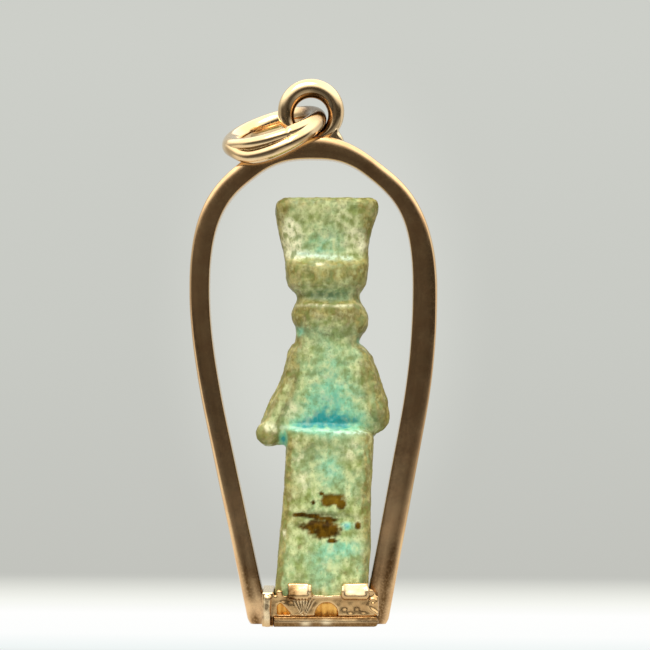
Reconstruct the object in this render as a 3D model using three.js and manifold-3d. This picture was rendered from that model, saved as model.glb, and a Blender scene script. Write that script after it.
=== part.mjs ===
// A worn faience amulet of a seated deity, seen from behind, in a gold pendant mount.
// Millimetres, +Z up. The figure's back faces -Y. The origin is under the middle of the base.
import * as THREE from 'three';
import { mergeVertices } from 'three/addons/utils/BufferGeometryUtils.js';
import Module from 'manifold-3d';

const wasm = await Module();
wasm.setup();

// Figure: its height above the shelf, and the foot of its throne
const figureHeight = 26.2;
const blockLeft = -2.82;
const blockRight = 3.3;
const blockBack = -2.95;
const blockFront = 3.05;

// Base plate
const plateThickness = 0.66;
const plateLip = 0.2;
const plateEndRadius = 0.3;

// Claw setting around the figure's foot
const wallThickness = 0.42;
const wallHeight = 1.34;
const sideWallThickness = 0.76;
const sideWallHeight = 1.55;
const shelfHeight = 0.8;
const shelfThickness = 0.25;
const seatClearance = 0.05;
const rightGap = 0.22;
const clawHeight = 0.82;
const clawThickness = 0.34;
const leftClawWidth = 1.4;
const leftClawInset = 0.9;
const rightClawWidth = 1.7;
const rightClawInset = 0.25;
const archWindowWidth = 1.5;
const archWindowHeight = 0.9;
const archWindowInset = 2.68;
const cornerWindowWidth = 0.95;
const cornerWindowHeight = 0.78;
const cornerWindowInset = 0.22;
const beadRadius = 0.19;

// Arched strip: half-round gold wire, flat side inwards
const crownHeadroom = 2.52;
const apexThickness = 1.58;
const leftShoulderThickness = 1.4;
const rightShoulderThickness = 1.23;
const leftLegThickness = 1.36;
const rightLegThickness = 1.64;
const stripDepth = 2.5;
const widestHeight = 21.9;
const shoulderDrop = 2.08;
const archHalfSpan = 7.4;
const shoulderHalfSpan = 3.91;
const shoulderAngle = 37.6;
const apexShift = -0.38;
const shoulderShift = -0.11;
const leftFootOut = 0.24;
const rightFootOut = -0.19;
const legBendHeight = 13.3;
const leftBendX = -6.68;
const rightBendX = 6.22;
const padLength = 3.3;
const padDepth = 1.9;

// Jump ring, and the bail loop whose hole it runs through
const ringWire = 1.3;
const ringRadius = 2.93;
const ringSlope = 18;
const ringTilt = 15.4;
const ringPlay = 0.47;
const ringClearance = 0.05;
const ringContactAngle = -30;
const ringSag = 0.42;
const ringSagStart = 30;
const ringSagPeak = 125;
const ringSagEnd = 165;
const bailWire = 1.07;
const bailDepth = 1.2;
const bailHoleDrop = 0.2;
const bailFoot = 0.27;
const bailShift = -0.08;

// Shared places
const figureFloor = plateThickness + shelfHeight + shelfThickness;
const wallTop = plateThickness + wallHeight;
const innerLeft = blockLeft - seatClearance;
const innerRight = blockRight + rightGap;
const settingLeft = innerLeft - sideWallThickness;
const settingRight = innerRight + wallThickness;
const backFace = blockBack - seatClearance;
const frontFace = blockFront + seatClearance;
const settingBack = backFace - wallThickness;
const settingFront = frontFace + wallThickness;
const apexHeight = figureFloor + figureHeight + crownHeadroom + apexThickness;
const shoulderHeight = apexHeight - shoulderDrop;
const leftFootX = settingLeft - leftFootOut;
const rightFootX = settingRight + rightFootOut;
const bailHoleRadius = ringWire / 2 + ringPlay;
const bailOuterRadius = bailHoleRadius + bailWire;
const bailCentreX = apexShift + bailShift;
const bailHoleZ = apexHeight + bailFoot + bailHoleRadius;
const bailCentreZ = bailHoleZ + bailHoleDrop;

const RAD = Math.PI / 180;

// A closed, outward-facing geometry from corner positions and triangles
function closedGeometry(positions, triangles) {
  let volume = 0;
  const corner = (i) => new THREE.Vector3().fromArray(positions, 3 * i);
  for (let i = 0; i < triangles.length; i += 3) {
    const a = corner(triangles[i]);
    const b = corner(triangles[i + 1]);
    const c = corner(triangles[i + 2]);
    volume += a.dot(b.cross(c));
  }
  const index = volume > 0 ? triangles : triangles.slice().reverse();
  const geometry = new THREE.BufferGeometry();
  geometry.setAttribute('position', new THREE.Float32BufferAttribute(positions, 3));
  geometry.setIndex(index);
  return geometry;
}

// Skin rings of equal count. A loop joins its last ring to its first, otherwise both ends are capped.
function skin(rings, isLoop = false) {
  const sides = rings[0].length;
  const positions = rings.flat().flatMap((p) => [p.x, p.y, p.z]);
  const triangles = [];
  const last = isLoop ? rings.length : rings.length - 1;
  for (let i = 0; i < last; i += 1) {
    const next = (i + 1) % rings.length;
    for (let j = 0; j < sides; j += 1) {
      const k = (j + 1) % sides;
      const a = i * sides + j;
      const b = i * sides + k;
      const c = next * sides + j;
      const d = next * sides + k;
      triangles.push(a, b, d, a, d, c);
    }
  }
  if (!isLoop) {
    capEnd(rings, 0, positions, triangles, true);
    capEnd(rings, rings.length - 1, positions, triangles, false);
  }
  return closedGeometry(positions, triangles);
}

// Close one end of a skin with a fan around the middle of its ring
function capEnd(rings, ringIndex, positions, triangles, isFirst) {
  const ring = rings[ringIndex];
  const middle = new THREE.Vector3();
  ring.forEach((p) => middle.addScaledVector(p, 1 / ring.length));
  const centre = positions.length / 3;
  positions.push(middle.x, middle.y, middle.z);
  const start = ringIndex * ring.length;
  for (let j = 0; j < ring.length; j += 1) {
    const a = start + j;
    const b = start + ((j + 1) % ring.length);
    if (isFirst) triangles.push(centre, b, a);
    else triangles.push(centre, a, b);
  }
}

const signedPower = (value, power) => Math.sign(value) * Math.abs(value) ** power;

// One level of a worn block form: a superellipse between left, right, back and front
function levelRing(level, sides) {
  const middleX = (level.left + level.right) / 2;
  const middleY = (level.back + level.front) / 2;
  const halfX = (level.right - level.left) / 2;
  const halfY = (level.front - level.back) / 2;
  const power = 2 / (level.square ?? 3);
  const ring = [];
  for (let i = 0; i < sides; i += 1) {
    const angle = (i + 0.5) * 2 * Math.PI / sides;
    const x = halfX * signedPower(Math.cos(angle), power);
    const y = halfY * signedPower(Math.sin(angle), power);
    const z = level.z + (level.slope ?? 0) * x;
    ring.push(new THREE.Vector3(middleX + x, middleY + y, z));
  }
  return ring;
}

const loft = (levels, sides) => skin(levels.map((level) => levelRing(level, sides)));

// A round-ended limb of changing radius through a few points
function limb(points, radii, sides = 10) {
  const curve = new THREE.CatmullRomCurve3(points);
  const steps = 3 * (points.length - 1);
  const capSteps = 2;
  const span = points[points.length - 1].clone().sub(points[0]).normalize();
  const isUpright = Math.abs(span.z) > Math.SQRT1_2;
  const reference = isUpright ? new THREE.Vector3(0, 1, 0) : new THREE.Vector3(0, 0, 1);
  const rings = [];
  const addRing = (t, radius, push) => {
    const tangent = curve.getTangent(t);
    const side = reference.clone().cross(tangent).normalize();
    const up = tangent.clone().cross(side).normalize();
    const centre = curve.getPoint(t).addScaledVector(tangent, push);
    const ring = [];
    for (let j = 0; j < sides; j += 1) {
      const angle = j * 2 * Math.PI / sides;
      const p = centre.clone().addScaledVector(side, radius * Math.cos(angle));
      ring.push(p.addScaledVector(up, radius * Math.sin(angle)));
    }
    rings.push(ring);
  };
  const radiusAt = (t) => {
    const place = t * (radii.length - 1);
    const i = Math.min(Math.floor(place), radii.length - 2);
    return THREE.MathUtils.lerp(radii[i], radii[i + 1], place - i);
  };
  for (let i = 1; i <= capSteps; i += 1) {
    const a = i * Math.PI / 2 / (capSteps + 0.5);
    addRing(0, radii[0] * Math.sin(a), -radii[0] * Math.cos(a));
  }
  for (let i = 0; i <= steps; i += 1) addRing(i / steps, radiusAt(i / steps), 0);
  for (let i = capSteps; i >= 1; i -= 1) {
    const a = i * Math.PI / 2 / (capSteps + 0.5);
    const end = radii[radii.length - 1];
    addRing(1, end * Math.sin(a), end * Math.cos(a));
  }
  return skin(rings);
}

function box(x0, x1, y0, y1, z0, z1) {
  const geometry = new THREE.BoxGeometry(x1 - x0, y1 - y0, z1 - z0);
  return geometry.translate((x0 + x1) / 2, (y0 + y1) / 2, (z0 + z1) / 2);
}

function ball(x, y, z, radius, scale = [1, 1, 1]) {
  return new THREE.SphereGeometry(radius, 12, 8).scale(...scale).translate(x, y, z);
}

// A flat outline in X and Z, drawn through from y0 to y1
function throughPlate(shape, y0, y1, curveSegments = 8) {
  const geometry = new THREE.ExtrudeGeometry(shape, { depth: y1 - y0, bevelEnabled: false, curveSegments });
  return geometry.rotateX(Math.PI / 2).translate(0, y1, 0);
}

// Booleans
function toSolid(geometry) {
  const bare = geometry.clone();
  bare.deleteAttribute('normal');
  bare.deleteAttribute('uv');
  const merged = mergeVertices(bare, 1e-5);
  const vertProperties = new Float32Array(merged.attributes.position.array);
  const triVerts = new Uint32Array(merged.index.array);
  return new wasm.Manifold(new wasm.Mesh({ numProp: 3, vertProperties, triVerts }));
}

function toGeometry(solid) {
  const mesh = solid.getMesh();
  const geometry = new THREE.BufferGeometry();
  geometry.setAttribute('position', new THREE.Float32BufferAttribute(mesh.vertProperties, 3));
  geometry.setIndex(Array.from(mesh.triVerts));
  return geometry;
}

const join = (geometries) => geometries.map(toSolid).reduce((sum, solid) => sum.add(solid));

// Base plate: flat underside, rounded right end
function basePlate() {
  const shape = new THREE.Shape();
  const roundX = settingRight - plateEndRadius;
  shape.moveTo(innerLeft, 0);
  shape.lineTo(roundX, 0);
  shape.absarc(roundX, plateEndRadius, plateEndRadius, -Math.PI / 2, 0);
  shape.absarc(roundX, plateThickness - plateEndRadius, plateEndRadius, 0, Math.PI / 2);
  shape.lineTo(innerLeft, plateThickness);
  return toGeometry(toSolid(throughPlate(shape, settingBack - plateLip, settingFront + plateLip)));
}

// Arch-topped window through a wall
function windowShape(left, width, sill, height) {
  const shape = new THREE.Shape();
  const radius = width / 2;
  const spring = Math.max(height - radius, 0.05);
  shape.moveTo(left, sill);
  shape.lineTo(left + width, sill);
  shape.lineTo(left + width, sill + spring);
  shape.absellipse(left + radius, sill + spring, radius, height - spring, 0, Math.PI);
  return shape;
}

// Corner window: a leaning triangle
function cornerWindowShape(left, width, sill, height) {
  const shape = new THREE.Shape();
  shape.moveTo(left, sill);
  shape.lineTo(left + width, sill);
  shape.lineTo(left + width * 0.25, sill + height);
  shape.lineTo(left, sill + height * 0.8);
  return shape;
}

// Setting: four walls, a shelf for the figure, claws on both long sides and beads at the corners
function clawSetting() {
  const sideTop = plateThickness + sideWallHeight;
  const clawTop = wallTop + clawHeight;
  const bite = 0.1;
  const parts = [
    box(settingLeft, innerLeft, settingBack, settingFront, 0, sideTop),
    box(innerRight, settingRight, settingBack, settingFront, plateThickness, wallTop),
    box(innerLeft - bite, settingRight, settingBack, backFace, plateThickness, wallTop),
    box(innerLeft - bite, settingRight, frontFace, settingFront, plateThickness, wallTop),
    box(
      innerLeft - bite,
      innerRight + bite,
      backFace - bite,
      frontFace + bite,
      figureFloor - shelfThickness,
      figureFloor,
    ),
  ];
  const claws = [
    [innerLeft + leftClawInset, leftClawWidth],
    [innerRight - rightClawInset - rightClawWidth, rightClawWidth],
  ];
  for (const [x, width] of claws) {
    const root = wallTop - wallThickness;
    parts.push(box(x, x + width, backFace - clawThickness, backFace, root, clawTop));
    parts.push(box(x, x + width, frontFace, frontFace + clawThickness, root, clawTop));
  }
  const beadY = settingBack + wallThickness / 2;
  const beadZ = wallTop + beadRadius / 2;
  parts.push(ball(innerLeft + 2 * beadRadius, beadY, beadZ, beadRadius));
  parts.push(ball(settingRight - 2 * beadRadius, beadY, beadZ, beadRadius));
  const sill = plateThickness - bite;
  const cuts = [
    windowShape(innerLeft + archWindowInset, archWindowWidth, sill, archWindowHeight + bite),
    cornerWindowShape(
      innerLeft + cornerWindowInset,
      cornerWindowWidth,
      plateThickness + bite,
      cornerWindowHeight,
    ),
  ].map((shape) => throughPlate(shape, settingBack - bite, backFace + bite, 6));
  return toGeometry(join(parts).subtract(join(cuts)));
}

// Centre line of the arch in X and Z, from the left foot over the apex to the right foot.
// Each handle is a share of the height or length of its own curve.
function archPath() {
  const apexZ = apexHeight - apexThickness / 2;
  const sideHandle = 0.666 * (shoulderHeight - widestHeight);
  const lowerHandle = 0.28 * (shoulderHeight - widestHeight);
  const upperHandle = 0.51 * shoulderHalfSpan;
  const apexHandle = 0.24 * shoulderHalfSpan;
  const angle = shoulderAngle * RAD;
  const below = 0.3;
  const half = (side, footX, bendX) => {
    const wideX = apexShift + side * archHalfSpan;
    const shoulderX = apexShift + shoulderShift + side * shoulderHalfSpan;
    const slope = (bendX - footX) / legBendHeight;
    const bendControlZ = legBendHeight + (wideX - bendX) / slope;
    return {
      start: [footX - slope * below, -below],
      bend: [bendX, legBendHeight],
      bendControl: [wideX, bendControlZ],
      wide: [wideX, widestHeight],
      wideControl: [wideX, widestHeight + sideHandle],
      lowControl: [
        shoulderX + side * lowerHandle * Math.cos(angle),
        shoulderHeight - lowerHandle * Math.sin(angle),
      ],
      shoulder: [shoulderX, shoulderHeight],
      highControl: [
        shoulderX - side * upperHandle * Math.cos(angle),
        shoulderHeight + upperHandle * Math.sin(angle),
      ],
      apexControl: [apexShift + side * apexHandle, apexZ],
    };
  };
  const left = half(-1, leftFootX, leftBendX);
  const right = half(1, rightFootX, rightBendX);
  const path = new THREE.Path();
  path.moveTo(...left.start);
  path.lineTo(...left.bend);
  path.quadraticCurveTo(...left.bendControl, ...left.wide);
  path.bezierCurveTo(...left.wideControl, ...left.lowControl, ...left.shoulder);
  path.bezierCurveTo(...left.highControl, ...left.apexControl, apexShift, apexZ);
  path.bezierCurveTo(...right.apexControl, ...right.highControl, ...right.shoulder);
  path.bezierCurveTo(...right.lowControl, ...right.wideControl, ...right.wide);
  path.quadraticCurveTo(...right.bendControl, ...right.bend);
  path.lineTo(...right.start);
  return path;
}

// Strip thickness: each leg and each shoulder has its own, and both shoulders run into the apex
function stripThickness(place) {
  const isLeft = place.x < apexShift;
  const leg = isLeft ? leftLegThickness : rightLegThickness;
  const shoulder = isLeft ? leftShoulderThickness : rightShoulderThickness;
  const raised = THREE.MathUtils.smoothstep(place.y, widestHeight, shoulderHeight);
  const away = THREE.MathUtils.smoothstep(Math.abs(place.x - apexShift), 0, shoulderHalfSpan);
  return THREE.MathUtils.lerp(apexThickness, THREE.MathUtils.lerp(leg, shoulder, raised), away);
}

function goldArch() {
  const path = archPath();
  const steps = 56;
  const arcSteps = 8;
  const roundness = 2 / 2.3;
  const rings = [];
  for (let i = 0; i <= steps; i += 1) {
    const t = i / steps;
    const place = path.getPointAt(t);
    const tangent = path.getTangentAt(t);
    const outward = new THREE.Vector2(-tangent.y, tangent.x);
    const thickness = stripThickness(place);
    const ring = [];
    for (let j = 0; j <= arcSteps; j += 1) {
      const angle = -Math.PI / 2 + j * Math.PI / arcSteps;
      const depth = (stripDepth / 2) * signedPower(Math.sin(angle), roundness);
      const bulge = Math.abs(Math.cos(angle)) < 1e-9 ? 0 : Math.cos(angle) ** roundness;
      const out = thickness * (bulge - 0.5);
      ring.push(new THREE.Vector3(place.x + outward.x * out, depth, place.y + outward.y * out));
    }
    rings.push(ring);
  }
  const strip = toSolid(skin(rings));
  const pad = toSolid(box(
    apexShift - padLength / 2,
    apexShift + padLength / 2,
    -padDepth / 2,
    padDepth / 2,
    apexHeight - apexThickness / 2,
    apexHeight,
  ));
  const reach = 2 * archHalfSpan;
  const floorCut = toSolid(box(-reach, reach, -reach, reach, -reach, 0));
  const settingTop = plateThickness + Math.max(sideWallHeight, wallHeight);
  const settingCut = toSolid(box(
    settingLeft,
    settingRight,
    settingBack - plateLip,
    settingFront + plateLip,
    -1,
    settingTop,
  ));
  return toGeometry(strip.add(pad).subtract(floorCut).subtract(settingCut));
}

// Bail: a thick loop, its hole set a little low, cut flat where it is soldered to the apex
function bailLoop() {
  const steps = 32;
  const sides = 10;
  const rings = [];
  for (let i = 0; i < steps; i += 1) {
    const angle = i * 2 * Math.PI / steps;
    const outerX = bailOuterRadius * Math.cos(angle);
    const outerZ = bailCentreZ + bailOuterRadius * Math.sin(angle);
    const innerX = bailHoleRadius * Math.cos(angle);
    const innerZ = bailHoleZ + bailHoleRadius * Math.sin(angle);
    const ring = [];
    for (let j = 0; j < sides; j += 1) {
      const turn = j * 2 * Math.PI / sides;
      const share = (1 + Math.cos(turn)) / 2;
      const x = THREE.MathUtils.lerp(innerX, outerX, share);
      const z = THREE.MathUtils.lerp(innerZ, outerZ, share);
      ring.push(new THREE.Vector3(bailCentreX + x, (bailDepth / 2) * Math.sin(turn), z));
    }
    rings.push(ring);
  }
  const loop = toSolid(skin(rings, true));
  const span = 2 * bailOuterRadius;
  const seat = toSolid(box(
    bailCentreX - span,
    bailCentreX + span,
    -bailDepth,
    bailDepth,
    apexHeight - span,
    apexHeight,
  ));
  return toGeometry(loop.subtract(seat));
}

// How far the lower of the ring's two turns hangs below the upper, at an angle around the ring
function ringSagAt(angle) {
  const parting = THREE.MathUtils.smoothstep(angle / RAD, ringSagStart, ringSagPeak);
  const closing = THREE.MathUtils.smoothstep(angle / RAD, ringSagPeak, ringSagEnd);
  return ringSag * parting * (1 - closing);
}

// Jump ring: its wire rests in the bail's hole and the ring leans left on the arch's shoulder
function jumpRing() {
  const steps = 40;
  const sides = 10;
  const slope = ringSlope * RAD;
  const tilt = ringTilt * RAD;
  const along = new THREE.Vector3(Math.cos(slope), 0, Math.sin(slope));
  const down = new THREE.Vector3(Math.sin(slope), 0, -Math.cos(slope));
  const near = new THREE.Vector3(0, -Math.cos(tilt), 0).addScaledVector(down, Math.sin(tilt));
  const normal = along.clone().cross(near);
  const play = ringPlay - ringClearance;
  const contact = ringContactAngle * RAD;
  const thread = new THREE.Vector3(
    bailCentreX + play * Math.cos(contact),
    0,
    bailHoleZ + play * Math.sin(contact),
  );
  const centre = thread.addScaledVector(along, -ringRadius);
  const rings = [];
  for (let i = 0; i < steps; i += 1) {
    const angle = i * 2 * Math.PI / steps;
    const radial = along.clone().multiplyScalar(Math.cos(angle)).addScaledVector(near, Math.sin(angle));
    const middle = centre.clone().addScaledVector(radial, ringRadius);
    const sag = ringSagAt(angle);
    const ring = [];
    for (let j = 0; j < sides; j += 1) {
      const turn = j * 2 * Math.PI / sides;
      const lowered = THREE.MathUtils.clamp(0.5 + 2 * Math.sin(turn), 0, 1);
      const p = middle.clone().addScaledVector(radial, (ringWire / 2) * Math.cos(turn));
      ring.push(p.addScaledVector(normal, (ringWire / 2) * Math.sin(turn) + sag * lowered));
    }
    rings.push(ring);
  }
  return toGeometry(toSolid(skin(rings, true)));
}

// Figure: places are measured as drawn at this height, with z above its foot, then scaled to figureHeight.
// The foot of its throne keeps its own size, which the setting fits.
const drawnHeight = 26.2;
const figureScale = figureHeight / drawnHeight;
const footLeft = blockLeft / figureScale;
const footRight = blockRight / figureScale;
const footBack = blockBack / figureScale;
const footFront = blockFront / figureScale;
const middle = 0.62;

// Crown: a tall slab flaring to a flat worn top
const crownLevels = [
  { z: 21.98, left: -2.12, right: 3.31, back: -2.02, front: 0.7, square: 4 },
  { z: 22.77, left: -2.28, right: 3.33, back: -1.95, front: 0.72, square: 4 },
  { z: 23.42, left: -2.48, right: 3.4, back: -1.98, front: 0.76, square: 4 },
  { z: 24.2, left: -2.64, right: 3.56, back: -2.06, front: 0.82, square: 4 },
  { z: 25.05, left: -2.78, right: 3.89, back: -2.15, front: 0.9, square: 4 },
  { z: 25.64, left: -2.81, right: 3.99, back: -2.18, front: 0.92, square: 4 },
  { z: 25.97, left: -2.66, right: 3.88, back: -2.1, front: 0.84, square: 4 },
  { z: 26.2, left: -2.28, right: 3.58, back: -1.85, front: 0.6, square: 3.6 },
];

// Head and wig: an upper band, a pinched recess and a lower bulge over the neck
const headLevels = [
  { z: 16.2, left: -1.6, right: 2.8, back: -2.1, front: 0.7, square: 2.6 },
  { z: 16.76, left: -1.5, right: 2.71, back: -2.12, front: 0.7, square: 2.6 },
  { z: 17.09, left: -1.47, right: 2.8, back: -2.16, front: 0.72, square: 2.6 },
  { z: 17.45, left: -1.42, right: 3.14, back: -2.35, front: 0.78, square: 2.7 },
  { z: 17.8, left: -1.52, right: 3.29, back: -2.54, front: 0.88, square: 2.8 },
  { z: 18.2, left: -1.71, right: 3.33, back: -2.62, front: 1.0, square: 2.8 },
  { z: 18.55, left: -1.76, right: 3.28, back: -2.64, front: 1.08, square: 2.8 },
  { z: 18.95, left: -1.65, right: 3.09, back: -2.6, front: 1.12, square: 2.8 },
  { z: 19.31, left: -1.47, right: 2.84, back: -2.48, front: 1.12, square: 2.8 },
  { z: 19.62, left: -1.37, right: 2.75, back: -2.18, front: 1.12, square: 2.8 },
  { z: 19.93, left: -1.5, right: 2.81, back: -2.14, front: 1.14, square: 2.8 },
  { z: 20.17, left: -1.74, right: 2.94, back: -2.28, front: 1.16, square: 3 },
  { z: 20.45, left: -2.0, right: 3.14, back: -2.58, front: 1.16, square: 3.2 },
  { z: 20.95, left: -2.09, right: 3.24, back: -2.68, front: 1.12, square: 3.4 },
  { z: 21.6, left: -2.13, right: 3.3, back: -2.66, front: 1.04, square: 3.6 },
  { z: 21.86, left: -2.13, right: 3.32, back: -2.56, front: 0.98, square: 3.6 },
  { z: 22.24, left: -2.13, right: 3.32, back: -2.06, front: 0.8, square: 3.8 },
];

// Torso with the upper arms, widening to the elbows
const torsoLevels = [
  { z: 10.35, left: -3.4, right: 3.95, back: -1.6, front: -0.5, square: 3, slope: 0.12 },
  { z: 10.6, left: -3.7, right: 4.4, back: -1.75, front: -0.5, square: 3, slope: 0.12 },
  { z: 11.12, left: -3.92, right: 4.68, back: -1.92, front: -0.2, square: 2.8, slope: 0.08 },
  { z: 11.65, left: -3.76, right: 4.67, back: -2.02, front: 0.05, square: 2.8, slope: 0.03 },
  { z: 12.0, left: -3.6, right: 4.7, back: -2.04, front: 0.2, square: 2.8 },
  { z: 12.97, left: -3.12, right: 4.55, back: -2.08, front: 0.55, square: 2.8 },
  { z: 13.95, left: -2.61, right: 4.25, back: -2.12, front: 0.85, square: 2.8 },
  { z: 14.93, left: -2.26, right: 3.9, back: -2.15, front: 0.85, square: 2.8 },
  { z: 15.78, left: -2.05, right: 3.6, back: -2.15, front: 0.8, square: 2.7 },
  { z: 16.24, left: -1.94, right: 3.2, back: -2.12, front: 0.72, square: 2.6 },
  { z: 16.6, left: -1.7, right: 2.84, back: -2.1, front: 0.7, square: 2.5 },
];

// Throne block: it leans and tapers a little, and its top ledge slopes in to the torso
const seatFront = 1.4;
const throneLevels = [
  { z: 0, left: footLeft, right: footRight, back: footBack, front: seatFront, square: 7 },
  { z: 0.96, left: -2.76, right: 3.28, back: footBack, front: seatFront, square: 7 },
  { z: 3.56, left: -2.55, right: 3.46, back: footBack, front: seatFront, square: 7 },
  { z: 5.51, left: -2.36, right: 3.45, back: footBack, front: seatFront, square: 7 },
  { z: 7.27, left: -2.21, right: 3.48, back: footBack, front: seatFront, square: 7 },
  { z: 9.42, left: -2.08, right: 3.6, back: footBack, front: seatFront, square: 7 },
  { z: 10.4, left: -2.06, right: 3.65, back: footBack, front: seatFront, square: 7 },
  { z: 10.93, left: -2.1, right: 3.5, back: -2.9, front: seatFront, square: 6, slope: -0.05 },
  { z: 11.2, left: -1.9, right: 3.2, back: -2.3, front: seatFront, square: 5, slope: -0.05 },
  { z: 11.45, left: -1.7, right: 3.0, back: -1.9, front: seatFront, square: 5, slope: -0.03 },
];

// Lap, shins, low step and feet
const kneeFront = 2.95;
const lapLevels = [
  { z: 8.2, left: middle - 2.2, right: middle + 2.2, back: 0, front: kneeFront, square: 4 },
  { z: 9.5, left: middle - 2.35, right: middle + 2.35, back: 0, front: kneeFront, square: 3.6 },
  { z: 10.25, left: middle - 2.2, right: middle + 2.2, back: 0, front: kneeFront - 0.2, square: 3.4 },
  { z: 10.6, left: middle - 1.9, right: middle + 1.9, back: 0, front: kneeFront - 0.7, square: 3 },
];
const shinLevels = [
  { z: 0.5, left: middle - 2.1, right: middle + 1.9, back: 0.6, front: 2.5, square: 3.4 },
  { z: 2.8, left: middle - 1.8, right: middle + 1.75, back: 0.6, front: 2.35, square: 3 },
  { z: 6.5, left: middle - 2.0, right: middle + 2.0, back: 0.6, front: 2.6, square: 3 },
  { z: 8.9, left: middle - 2.1, right: middle + 2.1, back: 0.6, front: kneeFront, square: 3.2 },
];
const stepLevels = [
  { z: 0, left: footLeft, right: footRight, back: 0, front: footFront, square: 7 },
  { z: 0.8, left: -2.77, right: 3.24, back: 0, front: footFront, square: 7 },
  { z: 1.05, left: -2.6, right: 3.1, back: 0, front: footFront - 0.2, square: 6 },
];
const footLevels = [
  { z: 0.8, left: -0.75, right: 0.75, back: 1.2, front: footFront - 0.05, square: 3 },
  { z: 1.3, left: -0.7, right: 0.7, back: 1.2, front: footFront - 0.12, square: 2.6 },
  { z: 1.8, left: -0.55, right: 0.55, back: 1.2, front: footFront - 0.6, square: 2.4 },
];

const point = (x, y, z) => new THREE.Vector3(x, y, z);

// Chest, and the wig lappet on one side of it, with x counted from the middle of the body
const chestLevels = [
  { z: 10.2, left: middle - 1.5, right: middle + 1.5, back: -1, front: 0.95, square: 2.6 },
  { z: 12.2, left: middle - 1.3, right: middle + 1.3, back: -1, front: 0.72, square: 2.6 },
  { z: 13.6, left: middle - 1.7, right: middle + 1.7, back: -1, front: 0.98, square: 2.6 },
  { z: 14.6, left: middle - 1.85, right: middle + 1.85, back: -1, front: 1.02, square: 2.6 },
  { z: 15.9, left: middle - 1.6, right: middle + 1.6, back: -1, front: 0.8, square: 2.6 },
];
const lappetLevels = [
  { z: 14.35, inner: 0.62, outer: 1.5, back: 0, front: 1.12 },
  { z: 14.6, inner: 0.5, outer: 1.62, back: 0, front: 1.28 },
  { z: 16.4, inner: 0.52, outer: 1.82, back: 0, front: 1.34 },
  { z: 17.6, inner: 0.8, outer: 1.98, back: 0, front: 1.36 },
  { z: 19.4, inner: 1.0, outer: 2.0, back: 0, front: 1.36 },
  { z: 20.4, inner: 0.9, outer: 1.85, back: 0, front: 1.25 },
];

// One side of the figure's front: foot, forearm to the hand on the knee, wig lappet and ear
function frontSide(side) {
  const footX = middle + side * 0.95;
  const foot = footLevels.map((level) => ({
    ...level,
    left: footX + level.left,
    right: footX + level.right,
  }));
  const lappet = lappetLevels.map((level) => ({
    ...level,
    left: middle + Math.min(side * level.inner, side * level.outer),
    right: middle + Math.max(side * level.inner, side * level.outer),
  }));
  const elbow = side < 0 ? point(-3.15, -0.5, 11.0) : point(3.85, -0.5, 11.7);
  return [
    loft(foot, 14),
    limb([elbow, point(middle + side * 2.4, 0.9, 10.75), point(middle + side * 1.25, 2.1, 10.55)],
      [0.7, 0.6, 0.5]),
    loft(lappet, 14),
    ball(middle + side * 1.3, 1.3, 18.95, 0.3, [0.6, 0.8, 1.3]),
  ];
}

// Head inside the wig: an oval face with a plain nose
function face() {
  return [
    ball(middle, 0.72, 18.8, 1, [1.3, 1.12, 1.6]),
    limb([point(middle, 1.72, 19.2), point(middle, 1.86, 18.65)], [0.1, 0.17], 6),
  ];
}

// Ridges that the arms make at both edges of the back, and the lobe of the left elbow
function backArms() {
  return [
    limb([point(-1.25, -1.5, 15.9), point(-1.98, -1.62, 13.6), point(-3.05, -1.66, 11.4)],
      [0.55, 0.58, 0.64]),
    limb([point(-3.28, -1.72, 10.8), point(-3.0, -1.1, 10.66)], [0.84, 0.78]),
    limb([point(2.8, -1.5, 15.7), point(3.38, -1.58, 13.9), point(3.85, -1.55, 12.1)],
      [0.6, 0.64, 0.68]),
  ];
}

// Long shallow scoop chipped out of the throne's back, falling a little to the right
function throneScoop() {
  const scoop = new THREE.SphereGeometry(1, 18, 8).scale(2.45, 0.24, 0.44);
  return scoop.rotateY(4 * RAD).translate(0.5, footBack, 5.28);
}

function faienceFigure() {
  const body = join([
    loft(throneLevels, 36),
    loft(torsoLevels, 36),
    loft(headLevels, 36),
    loft(crownLevels, 36),
    loft(lapLevels, 24),
    loft(shinLevels, 24),
    loft(stepLevels, 24),
    loft(chestLevels, 24),
    ...backArms(),
    ...frontSide(-1),
    ...frontSide(1),
    ...face(),
  ]);
  const geometry = toGeometry(body.subtract(toSolid(throneScoop())));
  return geometry.scale(figureScale, figureScale, figureScale).translate(0, 0, figureFloor);
}

// Materials
const faience = new THREE.MeshStandardMaterial({ color: '#a3b083', roughness: 0.62, metalness: 0 });
const gold = new THREE.MeshStandardMaterial({ color: '#c9955f', roughness: 0.25, metalness: 1 });

function piece(name, geometry, material) {
  const mesh = new THREE.Mesh(geometry, material);
  mesh.name = name;
  return mesh;
}

const amulet = new THREE.Group();
amulet.add(
  piece('faience_figure', faienceFigure(), faience),
  piece('gold_arch', goldArch(), gold),
  piece('bail_loop', bailLoop(), gold),
  piece('jump_ring', jumpRing(), gold),
  piece('base_plate', basePlate(), gold),
  piece('claw_setting', clawSetting(), gold),
);

export default amulet;
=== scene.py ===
import math

import bmesh
import bpy
import numpy as np
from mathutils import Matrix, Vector, noise


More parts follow.
